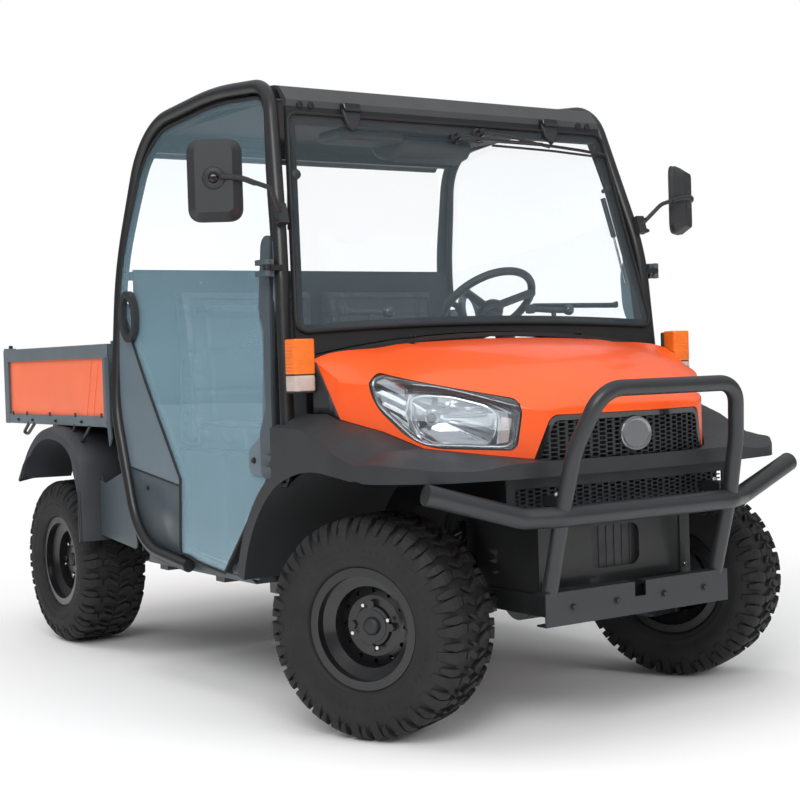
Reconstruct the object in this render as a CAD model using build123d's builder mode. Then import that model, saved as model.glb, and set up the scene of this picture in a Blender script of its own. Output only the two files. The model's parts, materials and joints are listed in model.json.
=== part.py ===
"""Cabbed utility side-by-side vehicle: two seats, glass doors, tipping cargo bed.

Frame: +X forward, +Y to the vehicle's left, +Z up, ground at Z = 0.
The origin lies on the ground, midway along the overall length.
Side-view outlines are drawn from the front axle line, through the planes PLAN, SIDE and FACE.
"""
import os
from math import atan2, cos, degrees, hypot, radians, sin

from build123d import *

os.makedirs("parts", exist_ok=True)

# ---- driving dimensions ----
FRONT_AXLE_X = 963.8        # front axle ahead of the origin
WHEELBASE = 2045.0
REAR_X = -WHEELBASE         # rear axle behind the front axle
SPRING = 345.0              # half length of the rear leaf springs
HALF_TRACK = 617.0
TYRE_RADIUS = 312.0         # to the lug tips
TYRE_WIDTH = 254.0
LUG_COUNT = 18              # tread lugs on each shoulder
LUG_HEIGHT = 12.0
LUG_WIDTH = 46.0
RIM_FLANGE_RADIUS = 170.0
RIM_BEAD_RADIUS = 152.0
RIM_HALF_WIDTH = 105.0
KINGPIN_Y = 547.0           # kingpin centre line from the middle
KINGPIN_OFFSET = 70.0       # kingpin to the wheel's middle plane, along the axle
STEER_REST = 24.7           # front wheels as they stand, turned to the left
HUB_RADIUS = 45.0
HUB_SEAT = 33.7             # hub face outboard of the wheel's middle plane
COLUMN_TILT = 40.0          # steering wheel's face from level
COLUMN_R = 30.0
SHAFT_R, SHAFT_LENGTH = 12.0, 56.0   # steering shaft stub in the column
WHEEL_CENTRE = (-655, 326, 1232)     # steering wheel
SEAT = 0.3                  # gap between seated faces
RUN = 5.0                   # running clearance of moving pieces
SEAM = 5.0                  # shut line between neighbouring panels

RAIL_FRONT = 428.7
RAIL_Y = 270.0              # chassis side rail centre
RAIL_W = 50.0
RAIL_H = 60.0
RAIL_Z = 330.0              # underside of the rails

TUBE = 42.0                 # cab hoop tube
HOOP = [(-240, 738, 725), (-290, 713, 1400), (-440, 646, 1895), (-790, 645, 1925), (-1300, 655, 1885),
        (-1440, 700, 1400), (-1425, 742, 900), (-1270, 742, 440), (-900, 742, 400)]
HOOP_RADII = [900, 130, 1500, 260, 900, 500, 250]
CAB_SIDE_Y = 748.0          # cab side plane below the waist
WAIST_Z = 900.0
TUMBLE_R = 4900.0           # tumblehome radius above the waist
GLASS = 5.0
SHEET = 4.0                 # moulded panels

FLARE_Y = 790.0             # outer edge of the front flares
ARCH_R = 450.0              # front wheel arch
FLARE_W = 42.0              # width of the flare's lip, seen from the side
HINGE_X, HINGE_Y = -275.0, 770.0
HINGE_FOOT = TYRE_RADIUS + ((ARCH_R + FLARE_W) ** 2 - 304.0 ** 2) ** 0.5 + 12
HINGE_PIN_R = 7.0
HINGE_FIT = 0.05            # radial clearance of the door hinges
# height of each door hinge, and where its lug leaves the pillar: x, y
HINGES = [(HINGE_FOOT + 48, -242.0, 745.0), (1330.0, -285.0, 722.0)]
HOOD_PIVOT_X, HOOD_PIVOT_Z = -150.0, 1072.0
HOOD_HINGE_Y = 345.0
HOOD_RIM_R = 10.0           # rounding of the hood's rim
DOOR_GAP = 12.0             # door edge to the hoop tube

CHIN_Z = 606.0              # underside of the bumper's chin
WING_REAR = -255.0          # rear edge of the wings

BED_FRONT, BED_REAR = -1496.0, -2528.0
BED_Y = 735.0
BED_Z, BED_TOP = 841.0, 1135.0
TAILGATE_Z, TAILGATE_PIN_R = 862.0, 6.0
BED_PIVOT_X, BED_PIVOT_Z = -2400.0, 782.0

LIFT_Y = 195.0              # tipping cylinder, beside the engine
LIFT_BASE = (-1560.0, 432.0)
LIFT_EYE = (-2200.0, 800.0)
LIFT_SLOT_R = 26.0          # opening in the bed's ears that the rod's pin floats in

PLAN = Plane((FRONT_AXLE_X, 0, 0))
SIDE = Plane((FRONT_AXLE_X, 0, 0), x_dir=(1, 0, 0), z_dir=(0, -1, 0))
FACE = Plane((FRONT_AXLE_X, 0, 0), x_dir=(0, 1, 0), z_dir=(1, 0, 0))


# ---- shared forms ----
def inside_hoop(gap):
    """Side-view area that the hoop encloses, drawn in from the tube's inner face by a gap."""
    with BuildSketch() as area:
        with BuildLine():
            FilletPolyline(*[(x, z) for x, y, z in HOOP], (-560, 330), (-225, 560),
                           radius=[0, *HOOP_RADII, 0, 0, 0], close=True)
        make_face()
        offset(amount=-(TUBE / 2 + gap), kind=Kind.INTERSECTION)
    return area.sketch


def cab_outline(area, points, draw_in=0):
    """Side-view outline of a cab side panel: a polygon held inside the hoop."""
    with BuildSketch() as outline:
        add(area)
        with BuildLine():
            Polyline(*points, close=True)
        make_face(mode=Mode.INTERSECT)
        if draw_in:
            offset(amount=-draw_in, kind=Kind.INTERSECTION)
    return outline.sketch


def side_reach(z, inset):
    """Distance of the cab side's outer face from the middle at a height."""
    rise = max(z - WAIST_Z, 0)
    return CAB_SIDE_Y - inset - TUMBLE_R + (TUMBLE_R ** 2 - rise ** 2) ** 0.5


def side_sheet(outline, inset, wall):
    """Right-hand cab panel: a side-view outline met with the curved cab side."""
    top = 1960.0
    drop = top - WAIST_Z
    outer = CAB_SIDE_Y - inset
    with BuildPart() as sheet:
        with BuildSketch(SIDE):
            add(outline)
        extrude(amount=900)
        with BuildSketch(FACE.offset(100)):
            with BuildLine():
                ends = [(-outer + step, TUMBLE_R - step) for step in (0, wall)]
                tips = [(y + r - (r * r - drop * drop) ** 0.5, top) for y, r in ends]
                mids = [(y + r - (r * r - drop * drop / 4) ** 0.5, WAIST_Z + drop / 2) for y, r in ends]
                ThreePointArc((ends[0][0], WAIST_Z), mids[0], tips[0])
                Line(tips[0], tips[1])
                ThreePointArc(tips[1], mids[1], (ends[1][0], WAIST_Z))
                Polyline((ends[1][0], WAIST_Z), (ends[1][0], 300), (ends[0][0], 300), (ends[0][0], WAIST_Z))
            make_face()
        extrude(amount=-1900, mode=Mode.INTERSECT)
    return sheet.part


def hood_form(inset, soften=0):
    """Outer form of the hood, or the cavity under it when drawn in by the wall; soften rounds its rim."""
    # x, half width, z at edge, crease half width, z at crease, z at middle, swell of the flank
    stations = [(-190, 705, 1048, 390, 1100, 1111, 10), (60, 605, 990, 345, 1060, 1080, 16),
                (190, 505, 970, 300, 1018, 1044, 14), (340, 380, 910, 262, 946, 970, 6),
                (450, 300, 868, 200, 884, 899, 2)]
    with BuildPart() as form:
        for x, width, z_edge, crease, z_crease, z_mid, swell in stations:
            out = width + 60
            z_out = z_edge - 60 * (z_crease - z_edge) / (width - crease) - 14 - inset
            top = z_crease - inset
            flank = ((crease + out) / 2, (top + z_out) / 2 + swell)
            with BuildSketch(FACE.offset(x)):
                with BuildLine():
                    ThreePointArc((-crease, top), (0, z_mid - inset), (crease, top))
                    ThreePointArc((crease, top), flank, (out, z_out))
                    Polyline((out, z_out), (out, 600), (-out, 600), (-out, z_out))
                    ThreePointArc((-out, z_out), (-flank[0], flank[1]), (-crease, top))
                make_face()
        loft()
        with BuildSketch(PLAN.offset(600)):
            with BuildLine():
                ThreePointArc((397, -278), (432, 0), (397, 278))
                Line((397, 278), (361, 332))
                ThreePointArc((361, 332), (175, 509), (-40, 682))
                Polyline((-40, 682), (-150, 702), (-165, 500), (-170, 0), (-165, -500), (-150, -702), (-40, -682))
                ThreePointArc((-40, -682), (175, -509), (361, -332))
                Line((361, -332), (397, -278))
            make_face()
            if inset:
                offset(amount=-inset, kind=Kind.INTERSECTION)
        extrude(amount=600, mode=Mode.INTERSECT)
        with BuildSketch(SIDE):
            with BuildLine():
                Polyline((-200, 908), (-90, 906), (60, 852), (150, 803), (398, 765), (470, 762),
                         (470, 1200), (-200, 1200), close=True)
            make_face()
            if inset:
                offset(amount=40, kind=Kind.INTERSECTION)
        extrude(amount=800, both=True, mode=Mode.INTERSECT)
        if soften:
            rim = []
            for edge in form.edges():
                middle = edge @ 0.5
                if middle.X < FRONT_AXLE_X - 60 or middle.Z < 870 or abs((edge % 0.5).Z) > 0.7:
                    continue
                walls = [f for f in form.faces() if abs(f.normal_at(f.center()).Z) < 0.2]
                if any(edge.is_same(side) for wall in walls for side in wall.edges()):
                    rim.append(edge)
            fillet(rim, soften)
    return form.part


def hood_plan(grow):
    """Prism over the hood's plan outline, used to trim the panels round it."""
    with BuildPart() as prism:
        with BuildSketch(PLAN.offset(600)):
            with BuildLine():
                ThreePointArc((397, -278), (432, 0), (397, 278))
                Line((397, 278), (361, 332))
                ThreePointArc((361, 332), (175, 509), (-40, 682))
                Polyline((-40, 682), (-150, 702), (-400, 702), (-400, -702), (-150, -702), (-40, -682))
                ThreePointArc((-40, -682), (175, -509), (361, -332))
                Line((361, -332), (397, -278))
            make_face()
            offset(amount=grow, kind=Kind.INTERSECTION)
        extrude(amount=600)
    return prism.part


def fascia_plan(inset):
    """Plan outline of the bumper and wings."""
    with BuildSketch() as area:
        with BuildLine():
            corners = [(WING_REAR, -FLARE_Y), (70, -FLARE_Y), (250, -745), (375, -620), (425, -400), (440, 0),
                       (425, 400), (375, 620), (250, 745), (70, FLARE_Y), (WING_REAR, FLARE_Y)]
            FilletPolyline(*corners, radius=[0, 200, 150, 150, 150, 600, 150, 150, 150, 200, 0], close=True)
        make_face()
        if inset:
            offset(amount=-inset, kind=Kind.INTERSECTION)
    return area.sketch


def fascia_form(plan, inset):
    """Bumper and wing tops: the plan outline met with the falling shoulder line."""
    with BuildPart() as form:
        with BuildSketch(PLAN.offset(600)):
            add(plan)
        extrude(amount=400)
        with BuildSketch(SIDE):
            with BuildLine():
                low = 60 if inset else 0
                Polyline((-400, 695 - low), (150, 695 - low), (180, 722 - low), (500, 722 - low), (500, 762 - inset),
                         (398, 765 - inset), (150, 803 - inset), (60, 852 - inset), (-90, 906 - inset),
                         (-200, 908 - inset), (-400, 908 - inset), close=True)
            make_face()
        extrude(amount=900, both=True, mode=Mode.INTERSECT)
    return form.part


def wheel_plane(x, side, steer):
    """Plane at a wheel's middle with its normal pointing outboard; side is +1 left, -1 right."""
    out_x, out_y = -side * sin(radians(steer)), side * cos(radians(steer))
    base = KINGPIN_Y if steer else HALF_TRACK - KINGPIN_OFFSET
    origin = (FRONT_AXLE_X + x + KINGPIN_OFFSET * out_x, side * base + KINGPIN_OFFSET * out_y, TYRE_RADIUS)
    return Plane(origin, x_dir=(0, 0, 1), z_dir=(out_x, out_y, 0))


# ---- chassis ----
with BuildPart(PLAN) as frame:
    with BuildSketch(SIDE.offset(RAIL_Y)):
        with BuildLine():
            Polyline((RAIL_FRONT, RAIL_Z), (-1450, RAIL_Z), (-1700, 480), (-2440, 480), (-2440, 540),
                     (-1672, 540), (-1424, RAIL_Z + RAIL_H), (RAIL_FRONT, RAIL_Z + RAIL_H), close=True)
        make_face()
    extrude(amount=RAIL_W / 2, both=True)
    with BuildSketch(SIDE.offset(RAIL_Y)):
        with BuildLine():
            Polyline((-1478, 388), (-1478, 790), (-2370, 790), (-2370, 735), (-1542, 735), (-1542, 388), close=True)
        make_face()
        with Locations((-2335, 640)):
            Rectangle(70, 220)
    extrude(amount=20, both=True)
    # x, z, length, height of the cross members
    for x, z, length, height in [(370, 360, 48, 60), (200, 360, 40, 40), (-520, 360, 60, 40), (-950, 360, 60, 40),
                                 (-1510, 360, 60, 60), (-1510, 762, 60, 50), (-2335, 762, 60, 50), (-2410, 510, 60, 60)]:
        with Locations((x, 0, z)):
            Box(length, 2 * RAIL_Y, height)
    # outriggers under the cab sides
    for x in (-520, -880, -1300):
        with Locations((x, -RAIL_Y - 185, 365)):
            Box(60, 370, 50)
    # carrier under the bumper's chin
    with BuildSketch(SIDE.offset(RAIL_Y)):
        with BuildLine():
            Polyline((318, 388), (318, CHIN_Z - 0.3), (402, CHIN_Z - 0.3), (402, CHIN_Z - 10), (340, CHIN_Z - 10),
                     (340, 388), close=True)
        make_face()
    extrude(amount=20, both=True)
    # bulkhead between the carriers, and the inner wings behind them
    with BuildSketch(FACE.offset(330)):
        with Locations((0, 500)):
            Rectangle(2 * (RAIL_Y - 19), 200)
            RectangleRounded(180, 120, 30, mode=Mode.SUBTRACT)
    extrude(amount=6)
    for x, length, top in [(195, 270, 604), (-160, 180, 600)]:
        with Locations((x, -RAIL_Y - 17, (388 + top) / 2)):
            Box(length, 6, top - 388)
    # ears that carry the bed pivot
    with BuildSketch(SIDE.offset(RAIL_Y + 20)):
        with BuildLine():
            Polyline((-2300, 735), (-2300, 790), (-2370, 790), (-2385, 812), (-2420, 812), (-2432, 782),
                     (-2420, 752), (-2370, 735), close=True)
        make_face()
        with Locations((BED_PIVOT_X, BED_PIVOT_Z)):
            Circle(13, mode=Mode.SUBTRACT)
    extrude(amount=-16)
    mirror(about=Plane.XZ)
    # clevis of the tipping cylinder
    for y in (LIFT_Y - 38, LIFT_Y + 38):
        with Locations((LIFT_BASE[0] + 25, y, 400)):
            Box(110, 12, 100)
    with Locations((LIFT_BASE[0], LIFT_Y, LIFT_BASE[1])):
        Cylinder(10, 88, rotation=(90, 0, 0))
    with Locations((-1535, LIFT_Y, 345)):
        Box(110, 200, 14)

with BuildPart(PLAN) as brush_guard:
    with BuildLine(PLAN) as hoop:
        FilletPolyline((413, -316, 400), (482, -317, 640), (522, -305, 800), (578, -250, 958),
                       (578, 250, 958), (522, 305, 800), (482, 317, 640), (413, 316, 400),
                       radius=[250, 250, 90, 90, 250, 250])
    with BuildSketch(Plane(origin=hoop.line @ 0, z_dir=hoop.line % 0)):
        Circle(22.5)
    sweep()
    with BuildLine(PLAN) as bar:
        FilletPolyline((374, -690, 698), (430, -416, 617), (482, -317, 617), (482, 317, 617), (430, 416, 617),
                       (374, 690, 698), radius=[80, 60, 60, 80])
    with BuildSketch(Plane(origin=bar.line @ 0, z_dir=bar.line % 0)):
        Circle(29)
    sweep()
    # channel plate across the feet
    with BuildSketch(SIDE):
        with BuildLine():
            Polyline((394, 315), (434, 315), (434, 407), (394, 407), (394, 402), (429, 402), (429, 320),
                     (394, 320), close=True)
        make_face()
    extrude(amount=347, both=True)
    with BuildSketch(FACE.offset(440)):
        with Locations((0, 395)):
            Rectangle(42, 60)
        with Locations((-250, 361), (-90, 361), (90, 361), (250, 361)):
            Circle(6.5)
    extrude(amount=-60, mode=Mode.SUBTRACT)

with BuildPart(PLAN) as front_suspension:
    # x inboard, x outboard, z inboard, z outboard of the control arm legs
    for x_in, x_out, z_in, z_out in [(130, 24, 345, 214), (-130, -24, 345, 214)]:
        with Locations((x_in, -303, z_in)):
            Box(44, 16, 44)
        with BuildLine(PLAN) as leg:
            FilletPolyline((x_in, -305, z_in), (x_out, -430, z_out), (x_out * 0.4, -535, z_out), radius=60)
        with BuildSketch(Plane(origin=leg.line @ 0, z_dir=leg.line % 0)):
            Circle(12)
        sweep()
    with Locations((0, -KINGPIN_Y, 216.4)):
        Cylinder(22, 20)
    with Locations((0, -425, 220)):
        Box(70, 30, 26)
    with BuildLine(PLAN) as strut:
        Line((0, -425, 225), (-20, -306, 600))
    with BuildSketch(Plane(origin=strut.line @ 0, z_dir=strut.line % 0)):
        Circle(24)
    sweep()
    with Locations((-20, -285, 595)):
        Box(90, 70, 40)
    with Locations((-20, -270, 485)):
        Box(60, 40, 190)
    mirror(about=Plane.XZ)
    with Locations((0, 0, 330)):
        Cylinder(75, 200, rotation=(90, 0, 0))
    with Locations((0, 0, 330)):
        Cylinder(22, 2 * RAIL_Y - RAIL_W, rotation=(90, 0, 0))
    with Locations((0, 0, 395)):
        Box(180, 540, 10)

with BuildPart(PLAN) as rear_axle:
    with Locations((REAR_X, 0, TYRE_RADIUS)):
        Cylinder(38, 2 * (HALF_TRACK - 60), rotation=(90, 0, 0))
        Sphere(105)
    for side in (1, -1):
        with Locations((REAR_X, side * (HALF_TRACK - 60), TYRE_RADIUS)):
            Cylinder(95, 50, rotation=(90, 0, 0))
        with Locations((REAR_X, side * (HALF_TRACK + HUB_SEAT / 2 - 20), TYRE_RADIUS)):
            Cylinder(38, HUB_SEAT + 40, rotation=(90, 0, 0))
        with BuildSketch(SIDE.offset(side * 400)):
            with BuildLine():
                ThreePointArc((REAR_X + SPRING, 430), (REAR_X, 340), (REAR_X - SPRING, 430))
                Line((REAR_X - SPRING, 430), (REAR_X - SPRING, 465))
                ThreePointArc((REAR_X - SPRING, 465), (REAR_X, 380), (REAR_X + SPRING, 465))
                Line((REAR_X + SPRING, 465), (REAR_X + SPRING, 430))
            make_face()
        extrude(amount=25, both=True)
        for x in (REAR_X + SPRING, REAR_X - SPRING):
            with Locations((x, side * 350, 470)):
                Box(40, 110, 40)
            with Locations((x, side * 310, 495)):
                Box(60, 30, 60)

with BuildPart(PLAN) as engine:
    with Locations((-1790, -45, 560)):
        Box(420, 380, 300)
    fillet(engine.edges().filter_by(Axis.Z), 25)
    with Locations((-1790, -150, 400)):
        Box(300, 60, 30)
    with Locations((-1790, -20, 460)):
        Box(60, 520, 40)

with BuildPart(PLAN) as muffler:
    with Locations((-2290, 0, 640)):
        Cylinder(75, 460, rotation=(90, 0, 0))
    with Locations((-2268, 0, 554)):
        Box(60, 2 * RAIL_Y, 28)
    with BuildLine(PLAN) as pipe:
        FilletPolyline((-2290, -190, 640), (-2290, -205, 570), (-2480, -205, 570), radius=[30])
    with BuildSketch(Plane(origin=pipe.line @ 0, z_dir=pipe.line % 0)):
        Circle(22)
    sweep()

# ---- cab structure ----
with BuildPart(PLAN) as cab_frame:
    for side in (1, -1):
        with BuildLine(PLAN) as hoop:
            FilletPolyline(*[(x, side * y, z) for x, y, z in HOOP], radius=HOOP_RADII)
        with BuildSketch(Plane(origin=hoop.line @ 0, z_dir=hoop.line % 0)):
            Circle(TUBE / 2)
        sweep()
        # hinge lugs and their pins
        for z, x, y in HINGES:
            with Locations(((HINGE_X + x) / 2, side * (HINGE_Y - 8 + y) / 2, z)):
                Box(abs(HINGE_X - x) + 22, HINGE_Y - 8 - y, 16)
            with Locations((HINGE_X, side * HINGE_Y, z)):
                Cylinder(12, 16)
                Cylinder(HINGE_PIN_R, 52)
    # cross bars under the roof's ends and behind the rear window's sill
    for x, z, half in [(-455, 1869, 640), (-1288, 1812, 640), (-1408, 1375, 685)]:
        with Locations((x, 0, z)):
            Box(30, 2 * half, 30)

with BuildPart() as roof:
    with BuildSketch(SIDE):
        with BuildLine():
            Polyline((-1360, 1788), (-1325, 1835))
            ThreePointArc((-1325, 1835), (-1290, 1875), (-1230, 1890))
            ThreePointArc((-1230, 1890), (-850, 1913), (-452, 1897))
            Polyline((-452, 1897), (-425, 1890), (-385, 1845), (-388.9, 1826), (-402.6, 1823), (-420, 1858), (-440, 1884))
            ThreePointArc((-440, 1884), (-850, 1900), (-1225, 1878))
            Polyline((-1225, 1878), (-1300, 1838), (-1346, 1788), (-1360, 1788))
        make_face()
    extrude(amount=622, both=True)

with BuildPart(PLAN) as headliner:
    with BuildSketch(SIDE):
        with BuildLine():
            Polyline((-1270, 1838), (-1220, 1862), (-470.3, 1862), (-470.3, 1852), (-1218, 1852), (-1270, 1828),
                     close=True)
        make_face()
    extrude(amount=615, both=True)
    with BuildSketch(SIDE):
        with BuildLine():
            Polyline((-480, 1852), (-480, 1800), (-530, 1775), (-640, 1775), (-700, 1852), close=True)
        make_face()
    extrude(amount=230, both=True)

DOOR = [(-302, 765), (-650, 402), (-955, 430), (-938, 683), (-1365, 1250), (-1500, 1300), (-1500, 2000),
        (-200, 2000), (-302, 1200)]
door_area = inside_hoop(DOOR_GAP)
door_sheet = side_sheet(cab_outline(door_area, DOOR), 6, GLASS)
door_band = side_sheet(cab_outline(door_area, DOOR), 11.3, 14)
door_hole = side_sheet(cab_outline(door_area, DOOR, 22), 0, 60)

with BuildPart() as door_right_glass:
    add(door_sheet)

with BuildPart() as door_right_frame:
    add(door_band)
    add(door_hole, mode=Mode.SUBTRACT)

with BuildSketch() as hinge_outline:
    with BuildLine():
        FilletPolyline((-304, HINGE_FOOT), (-304, 1100), (-330, 1430), (-384, 1430), (-376, 1210), (-346, 1150),
                       (-338, 920), (-378, HINGE_FOOT + 135), (-378, HINGE_FOOT),
                       radius=[20, 400, 20, 30, 25, 40, 40, 25, 30], close=True)
    make_face()
hinge_plate = side_sheet(hinge_outline.sketch, -6.3, 12)
with BuildPart(PLAN) as hinge_sleeves:
    for z, x, y in HINGES:
        skin, reach = side_reach(z, -6.3) - 3, HINGE_Y + 6
        for step in (-17, 17):
            with Locations((HINGE_X, -HINGE_Y, z + step)):
                Cylinder(12, 16)
            with Locations((HINGE_X - 24, -reach + 15, z + step)):
                Box(48, 30, 16)
            with Locations((HINGE_X - 47, -(skin + reach) / 2, z + step)):
                Box(26, reach - skin, 16)
            with Locations((HINGE_X, -HINGE_Y, z + step)):
                Cylinder(HINGE_PIN_R + HINGE_FIT, 16, mode=Mode.SUBTRACT)
with BuildPart() as door_right_hinge:
    add(hinge_plate)
    add(hinge_sleeves.part)

with BuildSketch() as handle_outline:
    with Locations((-1300, 1228)):
        Ellipse(62, 92, rotation=20)
        Ellipse(38, 66, rotation=20, mode=Mode.SUBTRACT)
handle_ring = side_sheet(handle_outline.sketch, -14, 19.7)
with BuildPart() as door_right_handle:
    add(handle_ring)

QUARTER = [(-962, 424), (-947, 683), (-1370, 1245), (-1600, 1245), (-1600, 300), (-962, 300)]
quarter_sheet = side_sheet(cab_outline(inside_hoop(0.5), QUARTER), 12, SHEET)
with BuildPart() as quarter_panels:
    add(quarter_sheet)
    mirror(about=Plane.XZ)

with BuildPart(PLAN) as rockers:
    with BuildSketch(SIDE.offset(640)):
        with BuildLine():
            Polyline((-490, 380), (-520, 392), (-655, 396), (-985, 424), (-1230, 436), (-1250, 380), close=True)
        make_face()
    extrude(amount=80)
    with BuildSketch(SIDE.offset(705)):
        with BuildLine():
            Polyline((-648, 397), (-520, 392.5), (-480, 392), (-400, 560), (-290, 690), (-268, 722), (-268, 770), (-296, 765),
                     close=True)
        make_face()
    extrude(amount=12)
    mirror(about=Plane.XZ)

with BuildPart(PLAN) as floor_pan:
    with BuildSketch(SIDE):
        with BuildLine():
            Polyline((-1400, 390), (-475, 390), (-455, 410), (-455, 640), (-250, 850), (-250, 1060), (-260, 1060),
                     (-260, 854), (-465, 646), (-465, 402), (-1400, 402), close=True)
        make_face()
    extrude(amount=640, both=True)

with BuildPart(PLAN) as rear_wall:
    with BuildSketch(SIDE):
        with BuildLine():
            Polyline((-1388, 402), (-1388, 1396), (-1378, 1396), (-1378, 402), close=True)
        make_face()
    extrude(amount=680, both=True)

with BuildPart(PLAN) as rear_glass:
    with BuildSketch(SIDE):
        with BuildLine():
            Polyline((-1385, 1396.3), (-1360, 1787.7), (-1355, 1787.7), (-1380, 1396.3), close=True)
        make_face()
    extrude(amount=640, both=True)

WIND = Plane((FRONT_AXLE_X - 231, 0, 1138), x_dir=(0, 1, 0), z_dir=(666, 0, 148))
with BuildPart() as windshield:
    with BuildSketch(WIND) as pane:
        with BuildLine():
            Line((704, 0), (624, 682))
            Line((624, 682), (-624, 682))
            Line((-624, 682), (-704, 0))
            ThreePointArc((-704, 0), (0, 20), (704, 0))
        make_face()
        fillet(pane.vertices(), 35)
    extrude(amount=-GLASS)

with BuildPart() as windshield_frame:
    with BuildSketch(WIND.offset(-GLASS)) as rim:
        with BuildLine():
            Polyline((704, -73.2), (704, 0), (622, 705.3), (-622, 705.3), (-704, 0), (-704, -73.2))
            ThreePointArc((-704, -73.2), (0, -5.4), (704, -73.2))
        make_face()
        with BuildLine():
            Polyline((672, 26), (598, 652), (-598, 652), (-672, 26))
            ThreePointArc((-672, 26), (0, 46), (672, 26))
        make_face(mode=Mode.SUBTRACT)
    extrude(amount=-14)

with BuildPart(PLAN) as cowl:
    with BuildSketch(FACE.offset(-249.7)):
        with BuildLine():
            ThreePointArc((-702, 1062), (0, 1128), (702, 1062))
            Polyline((702, 1062), (702, 1000), (690, 1000))
            Polyline((690, 1000), (690, 1050))
            ThreePointArc((690, 1050), (0, 1116), (-690, 1050))
            Polyline((-690, 1050), (-690, 1000), (-702, 1000), (-702, 1062))
        make_face()
    extrude(amount=70)
    # lugs of the hood hinge
    for side in (1, -1):
        with BuildSketch(SIDE.offset(side * HOOD_HINGE_Y)):
            with BuildLine():
                Polyline((-185, 1106), (-185, 1062), (HOOD_PIVOT_X, HOOD_PIVOT_Z - 14),
                         (HOOD_PIVOT_X + 14, HOOD_PIVOT_Z), (HOOD_PIVOT_X, HOOD_PIVOT_Z + 13), (-172, 1092),
                         close=True)
            make_face()
            with Locations((HOOD_PIVOT_X, HOOD_PIVOT_Z)):
                Circle(HINGE_PIN_R + HINGE_FIT, mode=Mode.SUBTRACT)
        extrude(amount=6, both=True)

steer_axis = Vector(-sin(radians(COLUMN_TILT)), 0, cos(radians(COLUMN_TILT)))
steer_plane = Plane(Vector(FRONT_AXLE_X, 0, 0) + Vector(*WHEEL_CENTRE), x_dir=(0, 1, 0), z_dir=steer_axis)

with BuildPart(PLAN) as dashboard:
    with BuildSketch(SIDE):
        with BuildLine():
            FilletPolyline((-260.3, 1110), (-260.3, 856), (-330, 860), (-470, 960), (-480, 1075), (-440, 1112),
                           radius=[5, 40, 40, 60, 30, 5], close=True)
        make_face()
    extrude(amount=660, both=True)
    with BuildSketch(steer_plane.offset(-400)):
        Circle(COLUMN_R + 0.3)
    extrude(amount=330, mode=Mode.SUBTRACT)

with BuildPart(PLAN) as seat_box:
    with Locations((-1132, 0, 580)):
        Box(488, 1200, 356)

# name, y centre, width of each seat
SEATS = [("driver", 310, 500), ("passenger", -270, 560)]
seat_parts = {}
for name, y, width in SEATS:
    with BuildPart(PLAN) as cushion:
        with Locations((-1049, y, 805.3)):
            Box(378, width, 94)
        fillet(cushion.edges(), 30)
    with BuildPart(PLAN) as backrest:
        with BuildSketch(SIDE.offset(-y)):
            with BuildLine():
                FilletPolyline((-1250, 758.3), (-1375, 758.3), (-1375, 1330), (-1300, 1340), (-1240, 1000),
                               radius=[20, 20, 30, 50, 200], close=True)
            make_face()
        extrude(amount=width / 2, both=True)
    seat_parts[f"{name}_cushion"] = cushion
    seat_parts[f"{name}_backrest"] = backrest

with BuildPart() as steering_column:
    with BuildSketch(steer_plane.offset(-400)):
        Circle(COLUMN_R)
    extrude(amount=351)
    with BuildSketch(steer_plane.offset(-49)):
        Circle(SHAFT_R + HINGE_FIT)
    extrude(amount=-SHAFT_LENGTH - 4, mode=Mode.SUBTRACT)

with BuildPart() as steering_wheel:
    with BuildSketch(Plane(steer_plane.origin, x_dir=steer_plane.x_dir, z_dir=steer_plane.y_dir)):
        with Locations((172, 0)):
            Circle(14)
    revolve(axis=Axis(steer_plane.origin, steer_plane.z_dir))
    with BuildSketch(steer_plane.offset(-48)):
        Circle(40)
    extrude(amount=40)
    with BuildSketch(steer_plane.offset(-48)):
        Circle(SHAFT_R)
    extrude(amount=-SHAFT_LENGTH)
    with BuildSketch(steer_plane.offset(-26)):
        with PolarLocations(100, 3, start_angle=90):
            Rectangle(150, 24)
    extrude(amount=18)

# ---- front bodywork ----
LAMP = Plane((FRONT_AXLE_X + 161, -474, 0), x_dir=(0.811, 0.585, 0), z_dir=(0.585, -0.811, 0))
LAMP_OUTLINE = [(236, 930), (214, 793), (-60, 805), (-192, 934), (-200, 1019)]


def lamp_prism(grow):
    with BuildPart() as prism:
        with BuildSketch(LAMP.offset(-170)):
            with BuildLine():
                FilletPolyline(*LAMP_OUTLINE, radius=[45, 25, 200, 150, 18], close=True)
            make_face()
            if grow:
                offset(amount=grow)
        extrude(amount=400)
    return prism.part


def mouth_prism(grow):
    with BuildPart() as prism:
        with BuildSketch(FACE.offset(250)) as mouth:
            with BuildLine():
                FilletPolyline((-331, 735), (-278, 888), (278, 888), (331, 735), radius=[10, 30, 30, 10], close=True)
            make_face()
            if grow:
                offset(amount=grow)
        extrude(amount=300)
    return prism.part


with BuildPart() as hood_ears:
    for side in (1, -1):
        with BuildSketch(SIDE.offset(side * (HOOD_HINGE_Y - 19))):
            with BuildLine():
                Polyline((HOOD_PIVOT_X - 10, HOOD_PIVOT_Z), (HOOD_PIVOT_X, HOOD_PIVOT_Z - 12),
                         (HOOD_PIVOT_X + 12, HOOD_PIVOT_Z), (-110, 1095), (-158, 1099.5), close=True)
            make_face()
        extrude(amount=4, both=True)
        with Locations((FRONT_AXLE_X + HOOD_PIVOT_X, -side * (HOOD_HINGE_Y - 6), HOOD_PIVOT_Z)):
            Cylinder(HINGE_PIN_R, 30, rotation=(90, 0, 0))
hood_skin, hood_hollow = hood_form(0, HOOD_RIM_R), hood_form(SHEET)
lamp_cut, lamp_body = lamp_prism(0), lamp_prism(-SEAT)
mouth_cut, mouth_body = mouth_prism(0), mouth_prism(-SEAT)
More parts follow.
